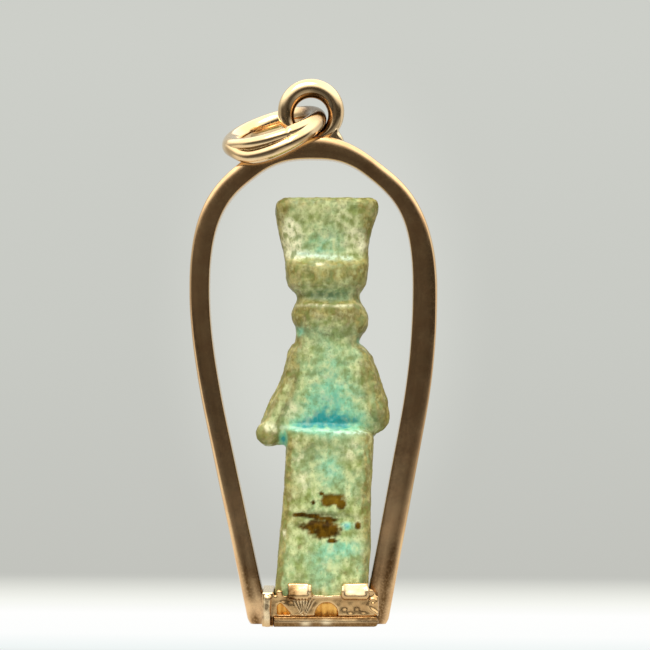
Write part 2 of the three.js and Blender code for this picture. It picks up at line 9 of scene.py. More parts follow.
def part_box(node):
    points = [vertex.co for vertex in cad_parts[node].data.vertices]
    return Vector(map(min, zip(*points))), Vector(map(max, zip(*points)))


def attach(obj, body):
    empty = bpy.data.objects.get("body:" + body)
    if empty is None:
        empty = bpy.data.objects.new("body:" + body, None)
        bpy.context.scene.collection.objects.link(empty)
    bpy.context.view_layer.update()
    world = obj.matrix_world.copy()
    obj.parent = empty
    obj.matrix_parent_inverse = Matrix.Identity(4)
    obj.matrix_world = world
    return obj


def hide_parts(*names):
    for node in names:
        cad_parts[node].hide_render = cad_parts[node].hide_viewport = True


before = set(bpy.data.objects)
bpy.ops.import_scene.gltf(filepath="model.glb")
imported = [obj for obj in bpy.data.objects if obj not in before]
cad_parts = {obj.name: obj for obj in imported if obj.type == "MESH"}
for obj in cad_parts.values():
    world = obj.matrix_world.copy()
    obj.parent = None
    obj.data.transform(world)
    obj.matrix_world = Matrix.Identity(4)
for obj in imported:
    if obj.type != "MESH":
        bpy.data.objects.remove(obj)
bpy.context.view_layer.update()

# A worn faience amulet of a seated deity in a gold pendant mount, seen from behind.
# Shapes are worked out in millimetres, in the frame's axes, and written in metres.
MM = 0.001
BODY = "root"

# Camera: level, a quarter of a metre behind the figure's back
PHOTO_SIDE = 650
MM_PER_PIXEL = 0.0658
CAMERA_PLACE = (0.46, -250.0, 19.58)
SENSOR_MM = 36.0


def node_box(name):
    """Lowest and highest corner of a CAD node, in millimetres."""
    low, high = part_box(name)
    return np.array(low) / MM, np.array(high) / MM


def add_object(name, data):
    made = bpy.data.objects.new(name, data)
    bpy.context.scene.collection.objects.link(made)
    return made


# Mesh building
def make_mesh(name, points, faces):
    mesh = bpy.data.meshes.new(name)
    mesh.from_pydata([tuple(p) for p in np.asarray(points, float)], [], faces)
    mesh.update()
    return mesh


def sheet_faces(rings, sides, loop_rings):
    """Faces between rings of points, which close into a loop or end in two caps."""
    faces = []
    last = rings if loop_rings else rings - 1
    for i in range(last):
        here = i * sides
        there = (i + 1) % rings * sides
        for j in range(sides):
            k = (j + 1) % sides
            faces.append((here + j, here + k, there + k, there + j))
    if not loop_rings:
        faces.append(tuple(reversed(range(sides))))
        faces.append(tuple(range((rings - 1) * sides, rings * sides)))
    return faces


def skin_mesh(name, rings, loop_rings=False):
    """Rings is an array of ring, side and coordinate. The normals are turned to face out."""
    count, sides = rings.shape[:2]
    mesh = make_mesh(name, rings.reshape(-1, 3), sheet_faces(count, sides, loop_rings))
    form = bmesh.new()
    form.from_mesh(mesh)
    if form.calc_volume(signed=True) < 0:
        mesh.flip_normals()
    form.free()
    return mesh


def get_points(mesh):
    points = np.empty(len(mesh.vertices) * 3, np.float32)
    mesh.vertices.foreach_get("co", points)
    return points.reshape(-1, 3).astype(float)


def get_normals(mesh):
    normals = np.empty(len(mesh.vertices) * 3, np.float32)
    mesh.vertex_normals.foreach_get("vector", normals)
    return normals.reshape(-1, 3).astype(float)


def set_points(mesh, points):
    mesh.vertices.foreach_set("co", points.astype(np.float32).ravel())
    mesh.update()


def cad_mesh(node):
    """A copy of a CAD node's mesh, in millimetres."""
    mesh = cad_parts[node].data.copy()
    set_points(mesh, get_points(mesh) / MM)
    return mesh


def joined(name, meshes):
    """One mesh holding all the given ones, unfused."""
    points, faces, start = [], [], 0
    for mesh in meshes:
        points.append(get_points(mesh))
        faces += [tuple(start + v for v in polygon.vertices) for polygon in mesh.polygons]
        start += len(mesh.vertices)
    return make_mesh(name, np.concatenate(points), faces)


def fused(name, source, voxel, softening):
    """Voxel remesh of overlapping closed forms, with softened edges."""
    holder = add_object(name, source)
    remesh = holder.modifiers.new("Fuse", "REMESH")
    remesh.mode = "VOXEL"
    remesh.voxel_size = voxel
    smooth = holder.modifiers.new("Soften", "SMOOTH")
    smooth.factor = 0.5
    smooth.iterations = softening
    graph = bpy.context.evaluated_depsgraph_get()
    mesh = bpy.data.meshes.new_from_object(holder.evaluated_get(graph), depsgraph=graph)
    bpy.data.objects.remove(holder)
    mesh.name = name
    return mesh


def add_piece(name, mesh, material, replaced=()):
    """Bring a millimetre mesh to metres, shade it smooth and hang it on the body."""
    set_points(mesh, get_points(mesh) * MM)
    mesh.materials.clear()
    mesh.materials.append(material)
    mesh.polygons.foreach_set("material_index", [0] * len(mesh.polygons))
    mesh.polygons.foreach_set("use_smooth", [True] * len(mesh.polygons))
    piece = add_object(name, mesh)
    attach(piece, BODY)
    if replaced:
        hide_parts(*replaced)


def add_mask(mesh, name, values):
    """A share from 0 to 1 at each point, which the material of the piece reads."""
    attribute = mesh.attributes.new(name, "FLOAT", "POINT")
    attribute.data.foreach_set("value", np.clip(values, 0, 1).astype(np.float32))


def add_gold_masks(mesh, tarnish_and_shade, painted_highlight=0.0):
    """Where the gold is darkened by tarnish and painted shade, and where a painted highlight makes it
    paler.
    """
    count = len(mesh.vertices)
    add_mask(mesh, "tarnish_and_shade", np.broadcast_to(tarnish_and_shade, count))
    add_mask(mesh, "painted_highlight", np.broadcast_to(painted_highlight, count))


# Fields over points
def smoothstep(value, low, high):
    t = np.clip((value - low) / (high - low), 0, 1)
    return t * t * (3 - 2 * t)


def fall(value, low, high):
    """The mirror of smoothstep: 1 below the low value, 0 above the high one."""
    return smoothstep(-value, -high, -low)


def lumps(points, per_mm, octaves, shift):
    """Fractal noise from about -1 to 1, with so many lumps per millimetre."""
    offset = Vector((shift, shift * 1.7, shift * 0.6))
    return np.array(
        [noise.fractal(Vector(p) * per_mm + offset, 0.9, 2.0, octaves) for p in points]
    )


def blot(points, x, z, half_width, half_height, power=2.0):
    """A soft blot seen along Y: 1 in its middle, fading past its half sizes."""
    u = np.abs((points[:, 0] - x) / half_width)
    v = np.abs((points[:, 2] - z) / half_height)
    return np.exp(-(u**power + v**power))


def bell(value, power=2):
    """1 at zero, fading on both sides."""
    return np.exp(-(value**power))


def hollows(mesh, steps):
    """How far each point lies below the surface around it: above 0 in hollows, below 0 on ridges."""
    points = get_points(mesh)
    pairs = np.empty(len(mesh.edges) * 2, np.int32)
    mesh.edges.foreach_get("vertices", pairs)
    first, second = pairs[::2], pairs[1::2]
    total = len(points)
    degree = np.bincount(first, minlength=total) + np.bincount(second, minlength=total)
    level = points.copy()
    for _ in range(steps):
        around = np.empty_like(level)
        for axis in range(3):
            value = level[:, axis]
            around[:, axis] = np.bincount(first, value[second], total)
            around[:, axis] += np.bincount(second, value[first], total)
        level = 0.35 * level + 0.65 * around / np.maximum(degree, 1)[:, None]
    return np.einsum("ij,ij->i", level - points, get_normals(mesh))


# Shader building
def new_material(name):
    material = bpy.data.materials.new(name)
    material.use_nodes = True
    return material, material.node_tree, material.node_tree.nodes["Principled BSDF"]


def add_node(tree, kind, inputs=None, **settings):
    made = tree.nodes.new(kind)
    for key, value in settings.items():
        setattr(made, key, value)
    for key, value in (inputs or {}).items():
        if isinstance(value, bpy.types.NodeSocket):
            tree.links.new(value, made.inputs[key])
        else:
            made.inputs[key].default_value = value
    return made


def millimetres(tree, stretch=(1, 1, 1)):
    """Object coordinates in millimetres, stretched if asked."""
    place = add_node(tree, "ShaderNodeTexCoord").outputs["Object"]
    scale = tuple(s / MM for s in stretch)
    return add_node(tree, "ShaderNodeMapping", {"Vector": place, "Scale": scale}).outputs[0]


def grain(tree, place, per_mm, detail, roughness, distortion=0.0):
    """Noise with so many grains per millimetre."""
    inputs = {
        "Vector": place,
        "Scale": per_mm,
        "Detail": detail,
        "Roughness": roughness,
        "Distortion": distortion,
    }
    return add_node(tree, "ShaderNodeTexNoise", inputs).outputs[0]


def ramp(tree, value, low, high, to_low=0.0, to_high=1.0):
    """Takes a value from one range to another, easing in and out, and stays within it."""
    inputs = {0: value, 1: low, 2: high, 3: to_low, 4: to_high}
    return add_node(
        tree, "ShaderNodeMapRange", inputs, interpolation_type="SMOOTHSTEP"
    ).outputs[0]


def arithmetic(tree, operation, a, b):
    return add_node(tree, "ShaderNodeMath", {0: a, 1: b}, operation=operation).outputs[0]


def times(tree, a, b):
    return arithmetic(tree, "MULTIPLY", a, b)


def blend(tree, share, a, b):
    return add_node(tree, "ShaderNodeMix", {0: share, 6: a, 7: b}, data_type="RGBA").outputs[2]


def mask(tree, name):
    return add_node(tree, "ShaderNodeAttribute", attribute_name=name).outputs["Fac"]


def bump(tree, height, strength, distance_mm, normal=None):
    inputs = {"Height": height, "Strength": strength, "Distance": distance_mm * MM}
    if normal is not None:
        inputs["Normal"] = normal
    return add_node(tree, "ShaderNodeBump", inputs).outputs[0]


def srgb(red, green, blue):
    """Linear colour with alpha from 8-bit display values."""
    def linear(value):
        share = value / 255
        return share / 12.92 if share <= 0.04045 else ((share + 0.055) / 1.055) ** 2.4

    return (linear(red), linear(green), linear(blue), 1.0)


# Faience: pale green glaze, olive on its edges from wear and from painted shade, turquoise where it
# pooled, brown stains, with painted highlights on its ledges and painted shade in its recess
def faience_material():
    material, tree, shader = new_material("worn_faience")

    # Grains of five sizes
    place = millimetres(tree)
    broad = grain(tree, place, 0.55, 3, 0.55, 0.2)
    patchy = grain(tree, place, 1.5, 3, 0.55, 0.15)
    mottle = grain(tree, millimetres(tree, (1.0, 1.0, 0.72)), 2.5, 3, 0.52)
    fine = grain(tree, place, 7.0, 3, 0.5)
    dust = grain(tree, place, 16.0, 2, 0.6)

    # Ground: clouded green, olive where the glaze is worn and as painted shade on sideways-facing
    # sides, turquoise where it pooled
    colour = blend(tree, ramp(tree, patchy, 0.36, 0.64), srgb(156, 172, 96), srgb(192, 202, 140))
    colour = blend(tree, ramp(tree, broad, 0.42, 0.66), colour, srgb(162, 192, 136))
    worn = times(tree, mask(tree, "worn"), ramp(tree, mottle, 0.3, 0.6, 0.5, 1.05))
    streaks = grain(tree, millimetres(tree, (1.3, 1.3, 0.5)), 2.0, 3, 0.5)
    olive_share = times(tree, ramp(tree, streaks, 0.36, 0.62), mask(tree, "streaky"))
    olive_share = arithmetic(tree, "MAXIMUM", olive_share, ramp(tree, patchy, 0.44, 0.66))
    olive = blend(tree, olive_share, srgb(114, 96, 28), srgb(168, 152, 80))
    colour = blend(tree, worn, colour, olive)
    pool = times(tree, mask(tree, "pool"), ramp(tree, mottle, 0.3, 0.66, 0.88, 1.06))
    mint = blend(tree, ramp(tree, pool, 0.0, 0.45), colour, srgb(136, 206, 166))
    colour = blend(tree, ramp(tree, pool, 0.4, 0.9), mint, srgb(18, 152, 152))
    # Painted shade: dark olive in the recess and small hollows of the back, with dark streaks on the
    # head band
    shaded_and_streaked = blend(tree, mask(tree, "shade_and_streaks"), colour, srgb(92, 104, 54))

    # Light flecks, pale patches that are partly painted highlights, painted highlights with some pale
    # glaze along the ledges, then dark flecks and grit
    clear = arithmetic(tree, "SUBTRACT", 1.0, times(tree, mask(tree, "pool"), 0.8))
    whole = arithmetic(tree, "SUBTRACT", 1.0, times(tree, worn, 0.55))
    light = times(tree, ramp(tree, mottle, 0.44, 0.7, 0.0, 0.78), clear)
    light = times(tree, light, whole)
    colour = blend(tree, light, shaded_and_streaked, srgb(226, 232, 168))
    # Pale glaze patches, partly painted highlights along the crown's top edge and a ledge
    pale_glaze_and_highlight = times(tree, mask(tree, "pale_glaze_and_highlight"), ramp(tree, mottle, 0.34, 0.6, 0.3, 1))
    colour = blend(tree, pale_glaze_and_highlight, colour, srgb(250, 246, 200))
    # Painted highlights, with some pale glaze, along the ledges
    ledge_glaze_and_highlight = times(tree, mask(tree, "ledge_glaze_and_highlight"), ramp(tree, mottle, 0.36, 0.6, 0.35, 1))
    colour = blend(tree, ledge_glaze_and_highlight, colour, srgb(222, 250, 222))
    dark = ramp(tree, mottle, 0.5, 0.3, 0.0, 0.55)
    colour = blend(tree, times(tree, dark, clear), colour, srgb(112, 118, 44))
    grit = ramp(tree, fine, 0.46, 0.3, 0.0, 0.4)
    colour = blend(tree, times(tree, grit, clear), colour, srgb(100, 104, 44))

    # Brown stains, the upper one amber
    stain = mask(tree, "stain")
    brown = blend(tree, ramp(tree, mottle, 0.36, 0.66), srgb(60, 40, 3), srgb(104, 74, 8))
    brown = blend(tree, mask(tree, "amber"), brown, srgb(134, 104, 24))
    colour = blend(tree, stain, colour, brown)
    tree.links.new(colour, shader.inputs["Base Color"])

    # Surface: glossy where the glaze is whole, dull where it is worn or stained
    rough = ramp(tree, fine, 0.3, 0.68, 0.32, 0.6)
    tree.links.new(rough, shader.inputs["Roughness"])
    dull = arithmetic(tree, "MAXIMUM", times(tree, worn, 0.6), stain)
    tree.links.new(ramp(tree, dull, 0.0, 1.0, 0.4, 0.06), shader.inputs["Specular IOR Level"])
    tree.links.new(ramp(tree, dull, 0.0, 0.8, 0.12, 0.0), shader.inputs["Coat Weight"])
    shader.inputs["Coat Roughness"].default_value = 0.18
    low = bump(tree, mottle, 0.5, 0.09)
    high = bump(tree, fine, 0.4, 0.04, low)
    tree.links.new(bump(tree, dust, 0.3, 0.02, high), shader.inputs["Normal"])
    return material


# Gold: rose-yellow, polished, with fine wear, a brown tarnish in its corners, painted shade and
# painted highlights from its piece's masks, and a painted pale sheen at grazing angles
def gold_material(name, dark, light, roughness, masked=True):
    """A masked gold reads where its piece is darkened by tarnish and painted shade, and where a
    painted highlight makes it paler.
    """
    material, tree, shader = new_material(name)
    place = millimetres(tree)
    cloud = grain(tree, place, 0.7, 3, 0.55)
    fine = grain(tree, place, 7.0, 4, 0.6)
    scratch = grain(tree, millimetres(tree, (1.0, 1.0, 0.12)), 16.0, 2, 0.7)
    colour = blend(tree, ramp(tree, cloud, 0.35, 0.65), dark, light)
    tarnish = ramp(tree, fine, 0.55, 0.8, 0.0, 0.4)
    if masked:
        # Tarnish and painted shade, where the piece's mask puts them
        tarnish_and_shade_share = times(tree, mask(tree, "tarnish_and_shade"), ramp(tree, fine, 0.2, 0.6, 0.6, 1))
        tarnish = arithmetic(tree, "MAXIMUM", times(tree, tarnish, 0.6), tarnish_and_shade_share)
    # Painted sheen: the colour pales where the surface is seen at a grazing angle
    grazing_sheen = add_node(tree, "ShaderNodeLayerWeight", {"Blend": 0.5}).outputs["Facing"]
    colour = blend(tree, ramp(tree, grazing_sheen, 0.45, 0.95, 0.0, 0.6), colour, srgb(252, 232, 204))
    colour = blend(tree, tarnish, colour, srgb(116, 84, 48))
    if masked:
        # Painted highlight, where the piece's mask puts it
        colour = blend(tree, mask(tree, "painted_highlight"), colour, srgb(250, 228, 186))
    tree.links.new(colour, shader.inputs["Base Color"])
    shader.inputs["Metallic"].default_value = 1.0
    spread = ramp(tree, fine, 0.3, 0.75, roughness, roughness + 0.08)
    tree.links.new(spread, shader.inputs["Roughness"])
    dent = bump(tree, cloud, 0.04, 0.1)
    worn = bump(tree, fine, 0.07, 0.015, dent)
    tree.links.new(bump(tree, scratch, 0.14, 0.006, worn), shader.inputs["Normal"])
    return material


# Arch: a strip from one side of the setting over the figure to the other. Its section is nearly
# rectangular, with rounded edges, and its inner side is flatter than its outer one.
APEX_THICKNESS = 1.58
LEG_THICKNESS = {-1: 1.36, 1: 1.64}
SHOULDER_THICKNESS = {-1: 1.4, 1: 1.23}
STRIP_DEPTH = 2.5
SECTION_POWER = 6.5
RIGHT_LEG_POWER = 11.5
INNER_CROWN = 0.15
STRIP_STEPS = 300
STRIP_SIDES = 88
FOOT_ROUNDING = 0.13
WIDEST_HEIGHT = 21.9
SHOULDER_DROP = 2.08
HALF_SPAN = 7.4
SHOULDER_HALF_SPAN = 3.91
SHOULDER_ANGLE = math.radians(37.6)
APEX_X = -0.38
SHOULDER_SHIFT = -0.11
BEND_HEIGHT = 13.3
BEND_X = {-1: -6.68, 1: 6.22}
FOOT_OUT = {-1: -0.24, 1: -0.19}


def bezier(points):
    """Places along the curve that the given points pull."""
    t = np.linspace(0, 1, 60)[:, None]
    level = [np.outer(np.ones(len(t)), p) for p in points]
    while len(level) > 1:
        level = [a * (1 - t) + b * t for a, b in zip(level, level[1:])]
    return level[0]


def arch_half(side, foot_x, apex_z):
    """Centre line of one half of the arch, from its foot to the apex."""
    wide_x = APEX_X + side * HALF_SPAN
    shoulder_x = APEX_X + SHOULDER_SHIFT + side * SHOULDER_HALF_SPAN
    shoulder = np.array([shoulder_x, apex_z - SHOULDER_DROP])
    rise = shoulder[1] - WIDEST_HEIGHT
    slope = (BEND_X[side] - foot_x) / BEND_HEIGHT
    bend_control = (wide_x, BEND_HEIGHT + (wide_x - BEND_X[side]) / slope)
    lean = np.array([side * math.cos(SHOULDER_ANGLE), -math.sin(SHOULDER_ANGLE)])
    middle_z = apex_z - APEX_THICKNESS / 2
    pieces = [
        bezier([(foot_x, 0), (BEND_X[side], BEND_HEIGHT)]),
        bezier([(BEND_X[side], BEND_HEIGHT), bend_control, (wide_x, WIDEST_HEIGHT)]),
        bezier([
            (wide_x, WIDEST_HEIGHT),
            (wide_x, WIDEST_HEIGHT + 0.666 * rise),
            shoulder + 0.28 * rise * lean,
            shoulder,
        ]),
        bezier([
            shoulder,
            shoulder - 0.51 * SHOULDER_HALF_SPAN * lean,
            (APEX_X + side * 0.24 * SHOULDER_HALF_SPAN, middle_z),
            (APEX_X, middle_z),
        ]),
    ]
    return np.concatenate([pieces[0]] + [piece[1:] for piece in pieces[1:]])


def even_line(line, steps):
    """The same line with evenly spaced points."""
    length = np.concatenate([[0], np.cumsum(np.linalg.norm(np.diff(line, axis=0), axis=1))])
    place = np.linspace(0, length[-1], steps)
    return np.stack([np.interp(place, length, line[:, axis]) for axis in range(2)], axis=1)


def strip_thickness(line, side, apex_z):
    """The strip is thickest at the apex, and thinner on its left leg than on its right."""
    leg = np.where(side < 0, LEG_THICKNESS[-1], LEG_THICKNESS[1])
    shoulder = np.where(side < 0, SHOULDER_THICKNESS[-1], SHOULDER_THICKNESS[1])
    raised = smoothstep(line[:, 1], WIDEST_HEIGHT, apex_z - SHOULDER_DROP)
    away = smoothstep(np.abs(line[:, 0] - APEX_X), 0, SHOULDER_HALF_SPAN)
    thickness = leg + (shoulder - leg) * raised
    return APEX_THICKNESS + (thickness - APEX_THICKNESS) * away


def strip_section(thickness, power):
    """Places across and in depth round one section, closest together where it turns."""
    angle = np.linspace(0, 2 * np.pi, 1441)
    dome = np.sign(np.cos(angle)) * np.abs(np.cos(angle)) ** (2 / power)
    reach = np.where(dome > 0, dome * (1 - INNER_CROWN), dome * INNER_CROWN) + INNER_CROWN - 0.5
    across = thickness * reach
    depth = STRIP_DEPTH / 2 * np.sign(np.sin(angle)) * np.abs(np.sin(angle)) ** (2 / power)
    step = np.stack([np.diff(across), np.diff(depth)], axis=1)
    length = np.linalg.norm(step, axis=1)
    heading = np.unwrap(np.arctan2(step[:, 1], step[:, 0]))
    turned = np.abs(np.diff(heading, prepend=heading[0]))
    share = np.cumsum(length) / length.sum() + np.cumsum(turned) / turned.sum()
    share = np.concatenate([[0], share])
    place = np.arange(STRIP_SIDES) * 2 / STRIP_SIDES
    return np.interp(place, share, across), np.interp(place, share, depth)


def arch_tarnish_and_shade(points, reach, height, right):
    """Tarnish in long streaks, more of them down both legs; painted shade low on both legs, in a band
    along the right leg's outer third and at the left foot's bottom; less of both near the outer rim
    and on a painted highlight across the left foot.
    """
    place = np.stack([reach * 3, points[:, 1] * 0.3, height * 0.16], axis=1)
    streak = lumps(place, 1.0, 3, 5.0)
    low = fall(height, 2.2, 6.5)
    band = bell((reach - 0.2) / 0.13) * smoothstep(height, 2, 5) * fall(height, 9, 17)
    bright_foot = bell((height - 1.15) / 0.55) * ~right
    rim = smoothstep(reach, 0.26, 0.44)
    tarnish_and_shade = 0.1 + 0.28 * streak + 0.12 * lumps(points, 0.9, 3, 12.0)
    tarnish_and_shade += low * (0.5 + 0.45 * streak) + 0.6 * band * right
    tarnish_and_shade += 0.3 * fall(height, 0.2, 0.8) * ~right
    return tarnish_and_shade * ((1 - 0.9 * bright_foot) * (1 - 0.75 * rim))


def arch_mesh():
    setting_low, setting_high = node_box("claw_setting")
    apex_z = node_box("gold_arch")[1][2]
    left = arch_half(-1, setting_low[0] + FOOT_OUT[-1], apex_z)
    right = arch_half(1, setting_high[0] + FOOT_OUT[1], apex_z)
    line = even_line(np.concatenate([left, right[::-1][1:]]), STRIP_STEPS)
    along = np.gradient(line, axis=0)
    along /= np.linalg.norm(along, axis=1)[:, None]
    outward = np.stack([-along[:, 1], along[:, 0]], axis=1)
    side = np.where(line[:, 0] < APEX_X, -1, 1)
    thickness = strip_thickness(line, side, apex_z)
    sharper = (RIGHT_LEG_POWER - SECTION_POWER) * (side > 0) * fall(line[:, 1], 14, 24)

    # Sections along the line, the end ones cut level with the floor
    rings = np.empty((STRIP_STEPS, STRIP_SIDES, 3))
    outs = np.empty((STRIP_STEPS, STRIP_SIDES))
    for index in range(STRIP_STEPS):
        power = SECTION_POWER + sharper[index]
        outs[index], rings[index, :, 1] = strip_section(thickness[index], power)
    rings[:, :, 0] = line[:, 0, None] + outward[:, 0, None] * outs
    rings[:, :, 2] = line[:, 1, None] + outward[:, 1, None] * outs
    for end, step in ((0, 1), (STRIP_STEPS - 1, -1)):
        direction = step * along[end]
        drop = rings[end, :, 2] / direction[1]
        rings[end, :, 0] -= drop * direction[0]
        rings[end, :, 2] = 0
    rings[:, :, 2] = np.maximum(rings[:, :, 2], 0)

    # Waves left by the hammer, and feet with rounded outer corners
    points = rings.reshape(-1, 3)
    middle = np.repeat(line, STRIP_SIDES, axis=0)
    radial = points - np.stack([middle[:, 0], np.zeros(len(points)), middle[:, 1]], axis=1)
    radial /= np.maximum(np.linalg.norm(radial, axis=1), 1e-6)[:, None]
    wave = 0.014 * lumps(points, 0.3, 2, 3.0) + 0.004 * lumps(points * (1, 1, 0.4), 1.4, 2, 9.0)
    moved = points + radial * wave[:, None]
    moved[:, 2] = np.where(points[:, 2] < 0.3, points[:, 2], moved[:, 2])
    reach = (outs / thickness[:, None]).reshape(-1)
    foot = np.clip(1 - points[:, 2] / 0.4, 0, 1) ** 2 * smoothstep(reach, 0.1, 0.5)
    point_side = np.repeat(side, STRIP_SIDES)
    moved[:, 0] -= FOOT_ROUNDING * point_side * foot

    mesh = skin_mesh("arch_strip", moved.reshape(rings.shape))
    add_gold_masks(mesh, arch_tarnish_and_shade(points, reach, middle[:, 1], point_side > 0))
    return mesh


# Bail: a thick loop with a low hole, standing on the apex
BAIL_DEPTH = 1.2
BAIL_HOLE_RADIUS = 1.12
BAIL_HOLE_DROP = 0.2


def bail_places():
    """The loop's middle, its outer radius and the height of its hole's middle."""
    low, high = node_box("bail_loop")
    outer = (high[0] - low[0]) / 2
    middle = np.array([(high[0] + low[0]) / 2, 0.0, high[2] - outer])
    return middle, outer, middle[2] - BAIL_HOLE_DROP


def bail_mesh():
    """Round the loop, an oval section spans from the low hole to the outer circle."""
    middle, outer, hole_z = bail_places()
    steps, sides = 120, 40
    rings = np.empty((steps, sides, 3))
    turn = np.arange(sides) * 2 * np.pi / sides
    share = (1 + np.cos(turn)) / 2
    for i in range(steps):
        angle = i * 2 * np.pi / steps
        across, up = math.cos(angle), math.sin(angle)
        reach_x = BAIL_HOLE_RADIUS * across * (1 - share) + outer * across * share
        z = (hole_z + BAIL_HOLE_RADIUS * up) * (1 - share) + (middle[2] + outer * up) * share
        rings[i, :, 0] = middle[0] + reach_x
        rings[i, :, 1] = BAIL_DEPTH / 2 * np.sin(turn)
        rings[i, :, 2] = z
    mesh = skin_mesh("bail", rings, True)
    # Tarnish and painted shade inside the hole and low on the loop above the apex
    inner = fall(np.tile(share, steps), 0.05, 0.4)
    foot = fall(get_points(mesh)[:, 2], hole_z - 1.4, hole_z - 0.6)
    add_gold_masks(mesh, 0.75 * inner + 0.3 * foot)
    return mesh


def solder_mesh():
    """Solder that fills the corners between the bail and the arch's apex."""
    middle, _, _ = bail_places()
    apex_z = node_box("gold_arch")[1][2]
    forms = []
    for side in (-1, 1):
        foot = middle[0] + side * 1.5
        outline = ((-0.7, -0.5), (0.75, -0.5), (0.62, -0.1), (0.36, 0.3), (0.3, 0.85), (-0.1, 0.5))
        levels = []
        for depth, share in ((-0.5, 0.55), (-0.4, 0.85), (0.0, 1.0), (0.4, 0.85), (0.5, 0.55)):
            levels.append([
                (foot + side * across * share, depth, apex_z + up * share) for across, up in outline
            ])
        forms.append(skin_mesh("wedge", np.array(levels)))
    mesh = fused("solder", joined("solder_forms", forms), voxel=0.05, softening=8)
    # A little tarnish, and a painted highlight over the whole solder
    add_gold_masks(mesh, 0.1, 0.3)
    return mesh


def ball_mesh(place, radius, segments=24):
    rings = segments // 2
    points, faces = [], []
    for i in range(1, rings):
        polar = math.pi * i / rings
        for j in range(segments):
            turn = 2 * math.pi * j / segments
            points.append((
                math.sin(polar) * math.cos(turn),
                math.sin(polar) * math.sin(turn),
                math.cos(polar),
            ))
    points += [(0, 0, 1), (0, 0, -1)]
    top, bottom = len(points) - 2, len(points) - 1
    for i in range(rings - 2):
        for j in range(segments):
            k = (j + 1) % segments
            faces.append((
                i * segments + j,
                (i + 1) * segments + j,
                (i + 1) * segments + k,
                i * segments + k,
            ))
    for j in range(segments):
        k = (j + 1) % segments
        faces.append((top, j, k))
        faces.append((bottom, (rings - 2) * segments + k, (rings - 2) * segments + j))
    placed = np.array(points) * radius + np.array(place)
    return make_mesh("ball", placed, faces)


# Jump ring: two turns of wire through the bail, leaning left, which part at the near left
RING_WIRE = 1.3
RING_RADIUS = 2.93
RING_SLOPE = math.radians(18)
RING_TILT = math.radians(15.4)
RING_PLAY = 0.42
RING_CONTACT = math.radians(-30)
RING_SEAM = math.radians(77)
RING_SAG = 0.42
RING_SAG_START = 30
RING_SAG_PEAK = 125
RING_SAG_END = 165


def ring_sag(degrees):
    """How far the lower turn hangs below the upper one, and how clearly the two part."""
    parting = smoothstep(degrees, RING_SAG_START, RING_SAG_PEAK)
    closing = 1 - smoothstep(degrees, RING_SAG_PEAK, RING_SAG_END)
    parted = smoothstep(degrees, 20, 60) * fall(degrees, 140, 175)
    return RING_SAG * parting * closing, parted


def two_turn_section(turn, sag, parted):
    """Outward and downward places around the wire: round, or two lobes one above the other."""
    half = RING_WIRE / 2
    across, level = np.cos(turn), np.sin(turn)
    round_low = half * level + sag * np.clip(0.5 + 2 * level, 0, 1)
    reach = np.zeros(len(turn))
    for out, low, width, height in ((-0.12, -0.27, 0.46, 0.38), (0.07, 0.15 + sag, 0.58, 0.5)):
        drop = low - sag / 2
        a = (across / width) ** 2 + (level / height) ** 2
        b = across * out / width**2 + level * drop / height**2
        c = (out / width) ** 2 + (drop / height) ** 2 - 1
        reach = np.maximum(reach, (b + np.sqrt(np.maximum(b * b - a * c, 0))) / a)
    out = half * across * (1 - parted) + reach * across * parted
    low = round_low * (1 - parted) + (reach * level + sag / 2) * parted
    return out, low


def jump_ring_mesh():
    """The ring hangs in the bail's hole, and a seam crosses its upper turn."""
    middle, _, hole_z = bail_places()
    along = np.array([math.cos(RING_SLOPE), 0, math.sin(RING_SLOPE)])
    down = np.array([math.sin(RING_SLOPE), 0, -math.cos(RING_SLOPE)])
    near = np.array([0, -math.cos(RING_TILT), 0]) + down * math.sin(RING_TILT)
    normal = np.cross(along, near)
    contact = np.array([math.cos(RING_CONTACT), 0, math.sin(RING_CONTACT)])
    centre = np.array([middle[0], 0, hole_z]) + RING_PLAY * contact - RING_RADIUS * along
    steps, sides = 240, 96
    turn = (np.arange(sides) + 0.5) * 2 * np.pi / sides
    rings = np.empty((steps, sides, 3))
    for i in range(steps):
        angle = i * 2 * np.pi / steps
        radial = along * math.cos(angle) + near * math.sin(angle)
        sag, parted = ring_sag(math.degrees(angle))
        out, low = two_turn_section(turn, sag, parted)
        seam = bell((angle - RING_SEAM) * RING_RADIUS / 0.07 - 2.5 * np.sin(turn))
        seam *= 1 - smoothstep(np.sin(turn), -0.2, 0.1)
        shrink = 1 - 0.16 * seam
        ring = centre + RING_RADIUS * radial
        ring = ring + (out * shrink)[:, None] * radial
        rings[i] = ring + (low * shrink)[:, None] * normal
    mesh = skin_mesh("ring", rings, True)
    # Tarnish and painted shade where the ring lies in the bail's hole
    near_hole = (get_points(mesh) - (middle[0] + 0.5, 0.2, hole_z)) / (1.3, 1.9, 1.3)
    add_gold_masks(mesh, 1.4 * bell(near_hole, 4).prod(axis=1))
    return mesh


